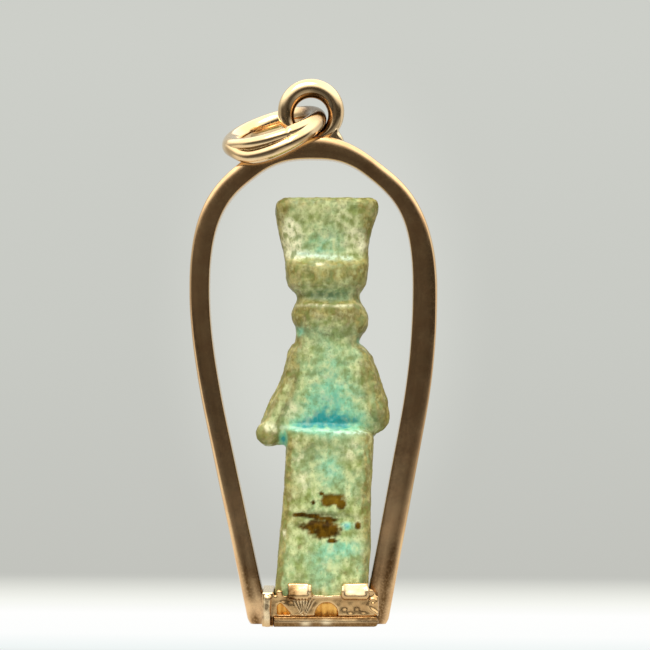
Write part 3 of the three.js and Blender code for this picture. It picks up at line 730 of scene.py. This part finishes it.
# Base plate: a worn slab with soft edges
def base_plate_mesh():
    mesh = fused("plate", cad_mesh("base_plate"), voxel=0.07, softening=4)
    points, normals = get_points(mesh), get_normals(mesh)
    upper = points[:, 2] > 0.06
    dent = 0.018 * lumps(points, 1.1, 3, 5.0) + 0.008 * lumps(points, 4.0, 2, 8.0)
    dent += 0.03 * np.cos((points[:, 2] - 0.34) * 2 * np.pi / 0.5) * (np.abs(normals[:, 1]) > 0.6)
    points += normals * (dent * upper)[:, None]
    points[:, 2] = np.maximum(points[:, 2], 0)
    set_points(mesh, points)
    # Brown tarnish all over, lighter along a painted highlight streak, with two painted glints and
    # painted shadow along the top edge
    streak = blot(points, 0.4, 0.36, 3.4, 0.1, 4.0)
    top_edge = smoothstep(points[:, 2], 0.46, 0.58)
    tarnish_and_shade = 1.2 + 0.4 * lumps(points, 1.3, 2, 2.0) - 0.7 * streak + 0.5 * top_edge
    spots = blot(points, -0.8, 0.22, 0.3, 0.16) + blot(points, 0.55, 0.3, 0.3, 0.16)
    add_gold_masks(mesh, tarnish_and_shade, 0.8 * spots + 0.25 * streak)
    return mesh


# Claw setting: folded claws, beads, curled strip ends and a chased back wall
WALL_TOP = 2.0
CLAWS = ((-1.92, -0.62), (1.62, 3.22))
FAN_X, FAN_Z = -0.92, 0.45
FAN_PITCH = 0.155
DIMPLES = (
    (1.75, 1.25, 0.17, 0.07),
    (2.1, 0.98, 0.16, 0.08),
    (2.52, 1.3, 0.2, 0.06),
    (2.95, 1.0, 0.2, 0.07),
    (-1.75, 1.75, 0.2, 0.09),
    (-2.3, 1.72, 0.16, 0.07),
)
WINDOWS = ((-0.3, 1.4, 0.6, 1.56), (-2.75, -1.6, 0.7, 1.56))


def rod_mesh(path, radius):
    """A round rod along a path, with round ends."""
    sides = 14
    path = np.array(path, float)
    fine = np.linspace(0, len(path) - 1, 8 * (len(path) - 1) + 1)
    line = np.stack([np.interp(fine, range(len(path)), path[:, axis]) for axis in range(3)], axis=1)
    along = np.gradient(line, axis=0)
    along /= np.linalg.norm(along, axis=1)[:, None]
    reference = np.array([0.0, 1.0, 0.0])
    rings = []
    turn = np.arange(sides) * 2 * np.pi / sides
    for place, direction in zip(line, along):
        if abs(direction @ reference) > 0.9:
            reference = np.array([0.0, 0.0, 1.0])
        across = np.cross(direction, reference)
        across /= np.linalg.norm(across)
        up = np.cross(across, direction)
        rings.append(
            place + radius * (np.cos(turn)[:, None] * across + np.sin(turn)[:, None] * up)
        )
    rod = skin_mesh("rod", np.array(rings))
    ends = [ball_mesh(line[0], radius, segments=16), ball_mesh(line[-1], radius, segments=16)]
    return joined("round_rod", [rod] + ends)


def prism_mesh(outline, x0, x1):
    """An outline in Y and Z, drawn from x0 to x1."""
    rings = np.array([[(x, y, z) for y, z in outline] for x in (x0, x1)])
    return skin_mesh("prism", rings)


def setting_forms():
    """What is added to the setting's solid before it is fused."""
    low, high = node_box("claw_setting")
    back, front = low[1], high[1]
    forms = []

    # Claws folded over the wall, at the back and at the front
    for x0, x1 in CLAWS:
        for face, out in ((back, -1), (front, 1)):
            outline = [
                (face - out * 0.3, WALL_TOP + 0.8),
                (face - out * 0.3, WALL_TOP - 0.2),
                (face + out * 0.2, WALL_TOP - 0.24),
                (face + out * 0.33, WALL_TOP - 0.06),
                (face + out * 0.3, WALL_TOP + 0.08),
                (face + out * 0.02, WALL_TOP + 0.8),
            ]
            forms.append(prism_mesh(outline, x0, x1))

    # Wire along the wall's top, between the claws, and two beads
    lip = back - 0.02
    rim = [(-0.52, lip, 2.72), (-0.45, lip, 2.3), (-0.32, lip, 2.0), (0.6, lip, 1.94)]
    rim += [(1.5, lip, 1.98), (1.6, lip, 2.25)]
    forms.append(rod_mesh(rim, 0.085))
    forms.append(ball_mesh((-2.49, back + 0.1, 2.2), 0.22))
    forms.append(ball_mesh((3.44, back + 0.1, 2.25), 0.2))

    # Scroll and tail in the right corner
    scroll = []
    for i in range(9):
        angle = math.radians(200 - 38 * i)
        radius = 0.26 - 0.018 * i
        scroll.append((3.6 + radius * math.cos(angle), lip, 1.58 + radius * math.sin(angle)))
    forms.append(rod_mesh(scroll, 0.085))
    tail = [(3.3, lip, 1.36), (3.42, lip, 1.12), (3.66, lip, 0.98), (3.84, lip, 0.82)]
    forms.append(rod_mesh(tail, 0.09))

    # Rounded edges of the left side wall, and curled ends beside the claws
    corner = [(-3.28, back - 0.02, 0.15), (-3.3, back - 0.04, 1.0), (-3.26, back, 1.82)]
    forms.append(rod_mesh(corner, 0.24))
    forms.append(rod_mesh([(-3.25, back + 0.2, 1.8), (-3.25, front - 0.3, 1.8)], 0.25))
    for x, top, radius in ((-0.5, 2.66, 0.13), (1.64, 2.6, 0.12), (3.22, 2.5, 0.1)):
        curl = [(x, lip - 0.2, 2.0), (x - 0.02, lip - 0.22, 2.3), (x, lip - 0.06, top)]
        forms.append(rod_mesh(curl, radius))
    return forms


def fan(points):
    """Ridges spreading upwards from one place on the back wall, and where they lie."""
    angle = np.arctan2(points[:, 0] - FAN_X, points[:, 2] - FAN_Z)
    reach = np.hypot(points[:, 0] - FAN_X, points[:, 2] - FAN_Z)
    shell = smoothstep(reach, 0.12, 0.3) * fall(reach, 1.3, 1.5)
    shell *= fall(np.abs(angle), 0.45, 0.62)
    return 0.055 * np.cos(angle * 2 * np.pi / FAN_PITCH) * shell, shell


def setting_mesh():
    forms = joined("setting_forms", [cad_mesh("claw_setting")] + setting_forms())
    mesh = fused("setting", forms, voxel=0.058, softening=4)
    points, normals = get_points(mesh), get_normals(mesh)
    back, front = (corner[1] for corner in node_box("claw_setting"))
    back_wall = fall(points[:, 1], back + 0.05, back + 0.3)
    ridges, shell = fan(points)
    dimples = np.zeros(len(points))
    for x, z, size, depth in DIMPLES:
        dimples -= depth * blot(points, x, z, size, size)
    dents = 0.02 * lumps(points, 1.2, 2, 4.0) + 0.006 * lumps(points, 3.5, 2, 6.0)
    moved = points + normals * ((ridges + dimples) * back_wall + dents)[:, None]
    moved[:, 2] = np.maximum(np.where(points[:, 2] < 0.05, points[:, 2], moved[:, 2]), 0)
    set_points(mesh, moved)

    # Tarnish in the hollows; darker beside the left claw and low on the back wall; painted shade
    # inside the setting. Painted highlights on the claws, the side wall and its up-facing end, the
    # wire along the top and the fan's ridges.
    tarnish_and_shade = 9 * hollows(mesh, 24) + 0.1
    tarnish_and_shade += 1.8 * blot(points, -1.8, 2.1, 0.36, 0.5) * fall(points[:, 1], -2.4, -1.5)
    tarnish_and_shade += 0.5 * (points[:, 1] > back + 0.6) * (points[:, 1] < front - 0.6)
    tarnish_and_shade += 0.12 * back_wall * (points[:, 2] < 1.9)
    tarnish_and_shade += 0.5 * back_wall * (points[:, 2] < 0.72) * (points[:, 2] > 0.5)
    wall_end = (points[:, 0] < -2.95) * smoothstep(get_normals(mesh)[:, 2], 0.2, 0.6)
    shine = 0.6 * blot(points, -0.86, 2.44, 0.42, 0.36, 4.0)
    shine += 0.9 * blot(points, 2.5, 2.38, 0.8, 0.36, 4.0)
    shine += 0.9 * blot(points, -3.3, 1.2, 0.22, 1.0, 4.0)
    shine += 0.5 * blot(points, 0.5, 1.96, 1.0, 0.1, 4.0)
    shine += 0.5 * shell * (ridges > 0)
    shine *= 0.8 + 0.35 * lumps(points, 2.0, 2, 14.0)
    add_gold_masks(mesh, tarnish_and_shade * (1 - wall_end), np.maximum(shine, wall_end))
    return mesh


def window_facets_mesh():
    """Leaning, rippled gold behind the two windows, which catches the light from the floor."""
    back = node_box("claw_setting")[0][1]
    forms = []
    for x0, x1, z0, z1 in WINDOWS:
        outline = [(back + 0.34, z0), (back + 0.52, z0), (back + 0.52, z1), (back + 0.14, z1)]
        forms.append(prism_mesh(outline, x0, x1))
    mesh = fused("facets", joined("facet_forms", forms), voxel=0.06, softening=2)
    points, normals = get_points(mesh), get_normals(mesh)
    fold = 0.07 * np.cos((points[:, 0] - 0.42) * 2 * np.pi / 0.74)
    set_points(mesh, points + normals * (fold * (normals[:, 1] < -0.4))[:, None])
    return mesh


# Figure: the moulded form, weathered. A blot on its back has its middle in X and Z, then its half
# sizes, and but for the stains its strength.
SHELF_Z = 1.71
MIDDLE_X = 0.62
STAINS = (
    (1.08, 8.2, 0.7, 0.36),
    (0.62, 8.15, 0.42, 0.36),
    (1.5, 8.0, 0.34, 0.34),
    (0.22, 8.62, 0.16, 0.12),
    (-0.3, 8.05, 0.12, 0.1),
    (0.15, 6.5, 1.1, 0.36),
    (0.45, 6.15, 0.95, 0.42),
    (1.0, 6.2, 0.5, 0.42),
    (-1.2, 7.24, 0.5, 0.12),
    (-0.5, 7.15, 0.6, 0.12),
    (0.3, 7.03, 0.6, 0.09),
    (0.95, 6.9, 0.35, 0.07),
    (2.61, 6.51, 0.17, 0.22),
    (0.95, 5.55, 0.3, 0.16),
)
SPECKS = (
    (-1.17, 5.14, 0.16, 0.14, 0.9),
    (0.92, 4.62, 0.26, 0.16, 0.9),
    (0.59, 3.65, 0.26, 0.14, 0.8),
    (1.76, 3.45, 0.24, 0.14, 0.7),
    (-0.4, 3.3, 0.18, 0.12, 0.7),
    (0.95, 2.95, 0.14, 0.18, 0.8),
    (2.3, 4.3, 0.12, 0.1, 0.6),
    (-0.1, 7.2, 1.2, 0.12, 0.7),
)
POOLS = (
    (0.9, 13.3, 1.9, 0.6, 1.0),
    (0.85, 14.5, 1.8, 1.6, 0.55),
    (-1.1, 13.0, 0.9, 0.3, 0.6),
    (-2.28, 12.1, 0.24, 0.5, 0.95),
    (0.35, 24.9, 1.5, 0.8, 0.28),
    (0.3, 24.4, 1.5, 0.16, 0.14),
    (0.75, 21.6, 1.35, 0.28, 0.35),
    (-1.25, 19.15, 0.35, 0.3, 0.5),
    (2.72, 18.55, 0.2, 0.22, 0.4),
    (0.8, 9.9, 0.9, 0.9, 0.3),
    (1.9, 6.5, 0.4, 0.24, 0.85),
    (1.5, 5.1, 1.5, 0.6, 0.4),
    (0.3, 4.3, 1.4, 0.8, 0.25),
    (0.2, 2.9, 1.8, 0.8, 0.15),
    (0.9, 17.5, 1.4, 1.6, 0.22),
    (0.6, 11.0, 1.6, 1.4, 0.14),
)
OLIVES = (
    (0.7, 22.9, 2.8, 0.65, 0.95),
    (1.0, 20.5, 2.6, 0.6, 0.95),
    (2.4, 20.4, 0.9, 0.8, 0.8),
    (-1.2, 20.3, 0.6, 0.6, 0.7),
    (-1.6, 16.8, 0.5, 1.5, 0.8),
    (-3.6, 12.4, 0.8, 0.6, 0.6),
    (3.5, 16.6, 0.7, 1.7, 0.8),
    (4.4, 13.6, 0.7, 1.2, 0.8),
    (0.5, 11.9, 2.4, 0.5, 0.6),
    (-0.3, 10.9, 1.3, 0.8, 0.5),
    (1.9, 10.4, 0.7, 0.8, 0.4),
    (-1.5, 8.6, 0.5, 0.8, 0.35),
    (3.1, 9.0, 0.4, 3.2, 0.6),
    (-2.0, 9.0, 0.3, 3.0, 0.45),
    (-2.4, 5.0, 0.3, 2.4, 0.4),
    (0.9, 27.9, 2.0, 0.5, 0.6),
    (-2.3, 27.3, 0.5, 0.9, 0.9),
    (2.95, 27.0, 0.45, 1.3, 0.8),
    (-1.5, 7.0, 0.6, 0.4, 0.5),
)
# Pale glaze patches, partly painted highlights along the crown's top edge and a ledge
PALE_GLAZE_AND_HIGHLIGHTS = (
    (-1.75, 26.0, 0.5, 0.55, 1.8),
    (-1.75, 25.0, 0.55, 0.65, 1.8),
    (-1.4, 24.2, 0.65, 0.3, 1.6),
    (0.6, 28.25, 2.6, 0.16, 0.9),
    (0.7, 20.86, 1.8, 0.13, 0.8),
    (-3.3, 13.0, 0.4, 0.25, 0.9),
    (2.3, 25.3, 0.6, 0.8, 0.6),
    (2.9, 24.8, 0.3, 0.5, 0.7),
    (0.1, 23.6, 0.4, 0.14, 0.9),
    (0.5, 25.2, 1.3, 0.7, 0.25),
    (1.6, 26.6, 0.8, 0.8, 0.3),
    (-1.7, 13.9, 0.5, 0.5, 0.7),
    (-2.9, 12.8, 0.5, 0.3, 0.7),
    (-1.2, 10.8, 0.4, 0.4, 0.6),
    (2.2, 11.6, 0.5, 0.5, 0.7),
    (-0.9, 9.5, 0.4, 0.5, 0.5),
    (0.3, 15.2, 0.16, 0.2, 0.8),
    (0.3, 16.2, 0.3, 0.14, 0.7),
    (-2.2, 6.0, 0.2, 0.3, 0.7),
)
# Painted shade in the recess and small hollows of the back, and dark streaks on the head band
SHADES_AND_STREAKS = (
    (0.7, 21.55, 1.35, 0.3, 0.75),
    (-0.6, 23.0, 0.2, 0.6, 0.5),
    (0.6, 22.7, 0.16, 0.5, 0.4),
    (1.9, 22.9, 0.25, 0.5, 0.5),
    (2.75, 18.6, 0.2, 0.3, 0.6),
    (-1.5, 19.3, 0.25, 0.3, 0.6),
    (-0.1, 7.2, 1.4, 0.12, 0.8),
    (-3.95, 12.3, 0.3, 0.6, 0.7),
)
# Painted highlights, with some pale glaze, along the three ledges
LEDGE_GLAZE_AND_HIGHLIGHTS = (
    (-1.0, 24.24, 0.6, 0.2, 0.8),
    (0.1, 24.14, 0.7, 0.17, 1.0),
    (1.1, 24.0, 0.6, 0.15, 1.0),
    (1.9, 23.92, 0.4, 0.14, 0.7),
    (0.7, 20.87, 1.7, 0.08, 0.12),
    (-2.0, 12.9, 0.8, 0.1, 0.5),
    (-0.6, 12.8, 0.9, 0.1, 0.6),
    (0.6, 12.72, 0.7, 0.11, 0.6),
    (1.5, 12.6, 0.6, 0.12, 0.8),
    (2.6, 12.58, 0.6, 0.13, 0.9),
)


def blots(points, table):
    """All the blots of one kind, added up."""
    return sum(weight * blot(points, x, z, w, h) for x, z, w, h, weight in table)


def front_carving(points):
    """Grooves of the face, wig and kilt on the side that looks ahead, as heights in millimetres."""
    x = points[:, 0] - MIDDLE_X
    z = points[:, 2] - SHELF_Z
    ahead = smoothstep(points[:, 1], 0.3, 0.9)
    height = np.zeros(len(points))
    for side in (-1, 1):
        u = x * side - 0.5
        eye = np.hypot(u / 0.3, (z - 19.15) / 0.14)
        height += 0.05 * bell(eye, 4) - 0.07 * bell((eye - 1.35) / 0.35)
        brow = np.abs(z - 19.55 + 0.25 * u * u)
        height += 0.05 * bell(brow / 0.09) * bell(u / 0.45, 4)
    height -= 0.07 * bell((z - 18.2) / 0.06) * bell(x / 0.4, 4)
    height += 0.05 * bell((z - 18.05) / 0.1) * bell(x / 0.34, 4)
    lappet = smoothstep(np.abs(x), 0.95, 1.1) * fall(np.abs(x), 1.9, 2.1)
    lappet *= smoothstep(z, 14.4, 14.8) * fall(z, 19.8, 20.2)
    height += 0.035 * np.cos(z * 2 * np.pi / 0.42) * lappet
    kilt = smoothstep(z, 7.6, 7.8) * fall(z, 9.4, 9.6) * (np.abs(x) < 2.0)
    height += 0.035 * np.cos(x * 2 * np.pi / 0.5) * kilt
    shin = smoothstep(z, 1.4, 2.2) * fall(z, 7.2, 7.8)
    height -= 0.14 * bell(x / 0.16) * shin
    for toe in (-1.35, -1.1, -0.85, -0.6, 0.6, 0.85, 1.1, 1.35):
        height -= 0.05 * bell((x - toe) / 0.05) * fall(z, 1.5, 1.7) * (z > 0.9)
    return height * ahead


def figure_mesh():
    """Lumpy and pitted all over, carved in front, with a deep recess and sunken stains behind."""
    mesh = fused("figure", cad_mesh("faience_figure"), voxel=0.1, softening=7)
    points, normals = get_points(mesh), get_normals(mesh)
    behind = fall(points[:, 1], -1.6, -0.9)
    height = 0.045 * lumps(points, 0.8, 3, 1.0)
    height += 0.026 * lumps(points, 2.4, 2, 12.0) + 0.014 * lumps(points, 6.0, 2, 20.0)
    pitted = smoothstep(lumps(points, 1.9, 2, 31.0), 0.28, 0.55)
    height -= 0.05 * pitted
    height += front_carving(points)
    height -= 0.16 * blot(points, 0.7, 21.35, 1.7, 0.36, 4.0) * behind
    for x, z, half_width, half_height in STAINS:
        height -= 0.02 * blot(points, x, z, half_width, half_height) * behind
    seat = smoothstep(points[:, 2] - SHELF_Z, 0.05, 0.6)
    set_points(mesh, points + normals * (height * seat)[:, None])
    weather_masks(mesh, points, behind)
    return mesh


def weather_masks(mesh, points, behind):
    """Where the glaze pooled, wore off, stayed pale or took a stain, and where highlights and shade
    are painted: on the ledges and edges, in the recess and hollows, and on sides that face sideways.
    """
    normals = get_normals(mesh)
    near, wide = hollows(mesh, 10), hollows(mesh, 60)
    ragged = lumps(points, 2.2, 3, 40.0)
    rough = lumps(points, 0.9, 3, 50.0)

    pool = blots(points, POOLS) * behind * (1 + 0.5 * ragged)
    pool += (1 - behind) * (3.0 * wide + 0.35 * rough)
    add_mask(mesh, "pool", pool)
    worn = blots(points, OLIVES) * behind + 0.45 * (1 - behind)
    worn += -6.0 * np.minimum(near, 0) - 1.6 * np.minimum(wide, 0)
    # Painted shade: sides that face sideways turn olive
    worn += 0.8 * smoothstep(np.abs(normals[:, 0]), 0.16, 0.65)
    worn += 0.7 * smoothstep(normals[:, 2], 0.3, 0.8) * (points[:, 2] < 27)
    worn += 1.6 * blots(points, SPECKS) * behind
    add_mask(mesh, "worn", (worn + 0.35 * ragged + 0.2 * rough) * (1 - 0.8 * np.clip(pool, 0, 1)))
    # Pale glaze patches, partly painted highlights
    add_mask(mesh, "pale_glaze_and_highlight", (blots(points, PALE_GLAZE_AND_HIGHLIGHTS) * behind + 0.2 * rough) * (1 + 0.8 * ragged))

    # Painted highlights, with some pale glaze, on the ledges
    add_mask(mesh, "ledge_glaze_and_highlight", blots(points, LEDGE_GLAZE_AND_HIGHLIGHTS) * behind * (1 + 0.6 * ragged))
    # Painted shade in the recess and hollows, and dark streaks
    add_mask(mesh, "shade_and_streaks", blots(points, SHADES_AND_STREAKS) * behind * (1 + 0.4 * ragged))
    add_mask(mesh, "streaky", blot(points, 0.7, 22.9, 2.8, 1.0, 4.0) * behind)

    stain = np.zeros(len(points))
    for x, z, half_width, half_height in STAINS:
        far = np.hypot((points[:, 0] - x) / half_width, (points[:, 2] - z) / half_height)
        stain = np.maximum(stain, smoothstep(1.4 + 0.4 * ragged - far, -0.05, 0.55))
    add_mask(mesh, "stain", stain * behind)
    add_mask(mesh, "amber", 0.9 * blot(points, 1.1, 8.2, 0.7, 0.4) * (1 + ragged))


# Stage: bright floor, pale backdrop, one soft light and the room's reflections
STAGE_HALF_WIDTH = 400.0
FLOOR_BACK = 48.0
FLOOR_FRONT = -400.0
FLOOR_SKEW = 0.1
BACKDROP_Y = 320.0
BACKDROP_LOW = -60.0
BACKDROP_HIGH = 260.0
BACKDROP_POOL_Z = 22.0


def stage_plane(name, corners, material):
    mesh = make_mesh(name, np.array(corners) * MM, [(0, 1, 2, 3)])
    mesh.materials.append(material)
    plane = add_object(name, mesh)


def glow(colour, tree, shader):
    """Makes a surface show exactly the given colour, lit by itself alone."""
    shader.inputs["Base Color"].default_value = (0.0, 0.0, 0.0, 1.0)
    shader.inputs["Specular IOR Level"].default_value = 0.0
    tree.links.new(colour, shader.inputs["Emission Color"])
    shader.inputs["Emission Strength"].default_value = 1.0


def colour_steps(tree, value, steps):
    """A colour ramp with straight runs between its steps."""
    made = add_node(tree, "ShaderNodeValToRGB", {0: value})
    stops = made.color_ramp.elements
    for _ in steps[2:]:
        stops.new(1.0)
    for stop, (position, colour) in zip(stops, steps):
        stop.position = position
        stop.color = colour
    return made.outputs[0]


def straight(tree, value, low, high):
    """The share of the way from low to high, without easing."""
    return add_node(tree, "ShaderNodeMapRange", {0: value, 1: low, 2: high}).outputs[0]


def floor_material():
    """White near the object, fading out at the back edge, and falling dark towards the room as painted
    shade, most at the front left and far to the right.
    """
    material, tree, shader = new_material("pale_floor")
    x, y, _ = add_node(tree, "ShaderNodeSeparateXYZ", {0: millimetres(tree)}).outputs
    skewed = arithmetic(tree, "ADD", y, times(tree, x, FLOOR_SKEW))
    front, back = -200.0, 50.0
    colours = (
        (-200, (0.08, 0.076, 0.07, 1)),
        (-150, (0.24, 0.236, 0.226, 1)),
        (-90, (0.3, 0.296, 0.285, 1)),
        (-50, (0.46, 0.455, 0.44, 1)),
        (-32, (0.64, 0.64, 0.62, 1)),
        (-21, srgb(240, 246, 245)),
        (-10, srgb(253, 254, 253)),
        (7, srgb(255, 255, 254)),
        (18, srgb(246, 247, 241)),
        (27, srgb(233, 234, 227)),
        (36, srgb(216, 217, 210)),
        (45, srgb(197, 198, 192)),
        (50, srgb(194, 195, 189)),
    )
    steps = [((place - front) / (back - front), colour) for place, colour in colours]
    colour = colour_steps(tree, straight(tree, skewed, front, back), steps)
    # Painted shade: darker at the unseen front left and far to the right
    leftward = ramp(tree, x, 5.0, -7.0, 0.0, 0.62)
    unseen = ramp(tree, y, -22.0, -40.0)
    colour = blend(tree, times(tree, leftward, unseen), colour, (0.02, 0.019, 0.017, 1))
    rightward = ramp(tree, x, 23.0, 50.0, 0.0, 0.5)
    colour = blend(tree, rightward, colour, (0.1, 0.1, 0.095, 1))
    glow(colour, tree, shader)
    return material


def backdrop_material():
    """Pale grey, a little darker low down, with a soft pool of light behind the object."""
    material, tree, shader = new_material("pale_backdrop")
    place = millimetres(tree)
    _, _, z = add_node(tree, "ShaderNodeSeparateXYZ", {0: place}).outputs
    steps = (
        (0.0, srgb(194, 195, 189)),
        (0.45, srgb(200, 202, 196)),
        (1.0, srgb(205, 207, 201)),
    )
    colour = colour_steps(tree, straight(tree, z, -18.0, 62.0), steps)
    flatness = 0.6
    around_pool = {
        "Vector": place,
        "Scale": (1.0, 1.0, flatness),
        "Location": (0.0, -BACKDROP_Y, -BACKDROP_POOL_Z * flatness),
    }
    oval = add_node(tree, "ShaderNodeMapping", around_pool).outputs[0]
    reach = add_node(tree, "ShaderNodeVectorMath", {0: oval}, operation="LENGTH").outputs["Value"]
    colour = blend(tree, ramp(tree, reach, 27.0, 9.0), colour, srgb(214, 216, 210))
    glow(colour, tree, shader)
    return material


def add_stage():
    wide = STAGE_HALF_WIDTH
    skew = FLOOR_SKEW * wide
    floor = [
        (-wide, FLOOR_FRONT, 0),
        (wide, FLOOR_FRONT, 0),
        (wide, FLOOR_BACK - skew, 0),
        (-wide, FLOOR_BACK + skew, 0),
    ]
    backdrop = [
        (-wide, BACKDROP_Y, BACKDROP_LOW),
        (wide, BACKDROP_Y, BACKDROP_LOW),
        (wide, BACKDROP_Y, BACKDROP_HIGH),
        (-wide, BACKDROP_Y, BACKDROP_HIGH),
    ]
    stage_plane("floor", floor, floor_material())
    stage_plane("backdrop", backdrop, backdrop_material())


def add_light():
    """One soft rectangular light, high up, a little to the left and towards the camera."""
    place, aim = Vector((-70, -170, 300)), Vector((0.5, 0, 16))
    width, height, radiance = 200, 150, 5.5
    light = bpy.data.lights.new("key_light", "AREA")
    light.shape = "RECTANGLE"
    light.size = width * MM
    light.size_y = height * MM
    light.energy = radiance * math.pi * width * height * MM * MM
    light.color = (1, 0.99, 0.96)
    holder = add_object("key_light", light)
    holder.location = place * MM
    holder.rotation_euler = (aim - place).to_track_quat("-Z", "Y").to_euler()


def add_world():
    """Dark behind the camera, mid grey at the left, bright at the right and pale above."""
    world = bpy.data.worlds.new("studio")
    world.use_nodes = True
    tree = world.node_tree
    direction = add_node(tree, "ShaderNodeTexCoord").outputs["Generated"]
    x, y, z = add_node(tree, "ShaderNodeSeparateXYZ", {0: direction}).outputs
    sideways = ramp(tree, x, -0.6, 0.6)
    sides = blend(tree, sideways, (0.5, 0.5, 0.48, 1), (0.85, 0.86, 0.86, 1))
    facing = ramp(tree, y, -0.4, 0.05)
    leaning = ramp(tree, x, 0.3, -0.3)
    room = blend(tree, leaning, (0.05, 0.045, 0.037, 1), (0.115, 0.103, 0.088, 1))
    around = blend(tree, facing, room, sides)
    above = ramp(tree, z, 0.14, 0.62)
    colour = blend(tree, above, around, (1.8, 1.8, 1.74, 1))
    background = tree.nodes["Background"]
    tree.links.new(colour, background.inputs["Color"])
    background.inputs["Strength"].default_value = 1.0
    bpy.context.scene.world = world


def add_camera():
    camera = bpy.data.cameras.new("camera")
    camera.sensor_width = SENSOR_MM
    camera.lens = SENSOR_MM * -CAMERA_PLACE[1] / (PHOTO_SIDE * MM_PER_PIXEL)
    camera.clip_start = 0.01
    camera.clip_end = 5.0
    holder = add_object("camera", camera)
    holder.location = Vector(CAMERA_PLACE) * MM
    holder.rotation_euler = (math.pi / 2, 0, 0)
    bpy.context.scene.camera = holder


def build_amulet():
    faience = faience_material()
    polished = gold_material("polished_gold", srgb(232, 188, 138), srgb(241, 201, 150), 0.12)
    soft = gold_material("soft_gold", srgb(232, 198, 150), srgb(242, 212, 166), 0.1)
    worn = gold_material("worn_gold", srgb(200, 160, 108), srgb(218, 180, 126), 0.2)
    # A lighter, more orange copy of the gold for the facets behind the windows: painted light
    lit_lining = gold_material("lit_window_gold", srgb(214, 146, 56), srgb(240, 184, 96), 0.3, masked=False)
    add_piece("worn_figure", figure_mesh(), faience, ["faience_figure"])
    add_piece("arch_strip", arch_mesh(), polished, ["gold_arch"])
    add_piece("bail", bail_mesh(), soft, ["bail_loop"])
    add_piece("bail_solder", solder_mesh(), soft)
    add_piece("loose_ring", jump_ring_mesh(), soft, ["jump_ring"])
    add_piece("worn_plate", base_plate_mesh(), worn, ["base_plate"])
    add_piece("chased_setting", setting_mesh(), worn, ["claw_setting"])
    add_piece("window_facets", window_facets_mesh(), lit_lining)


build_amulet()
add_stage()
add_light()
add_world()
add_camera()
bpy.context.scene.view_settings.view_transform = "Standard"
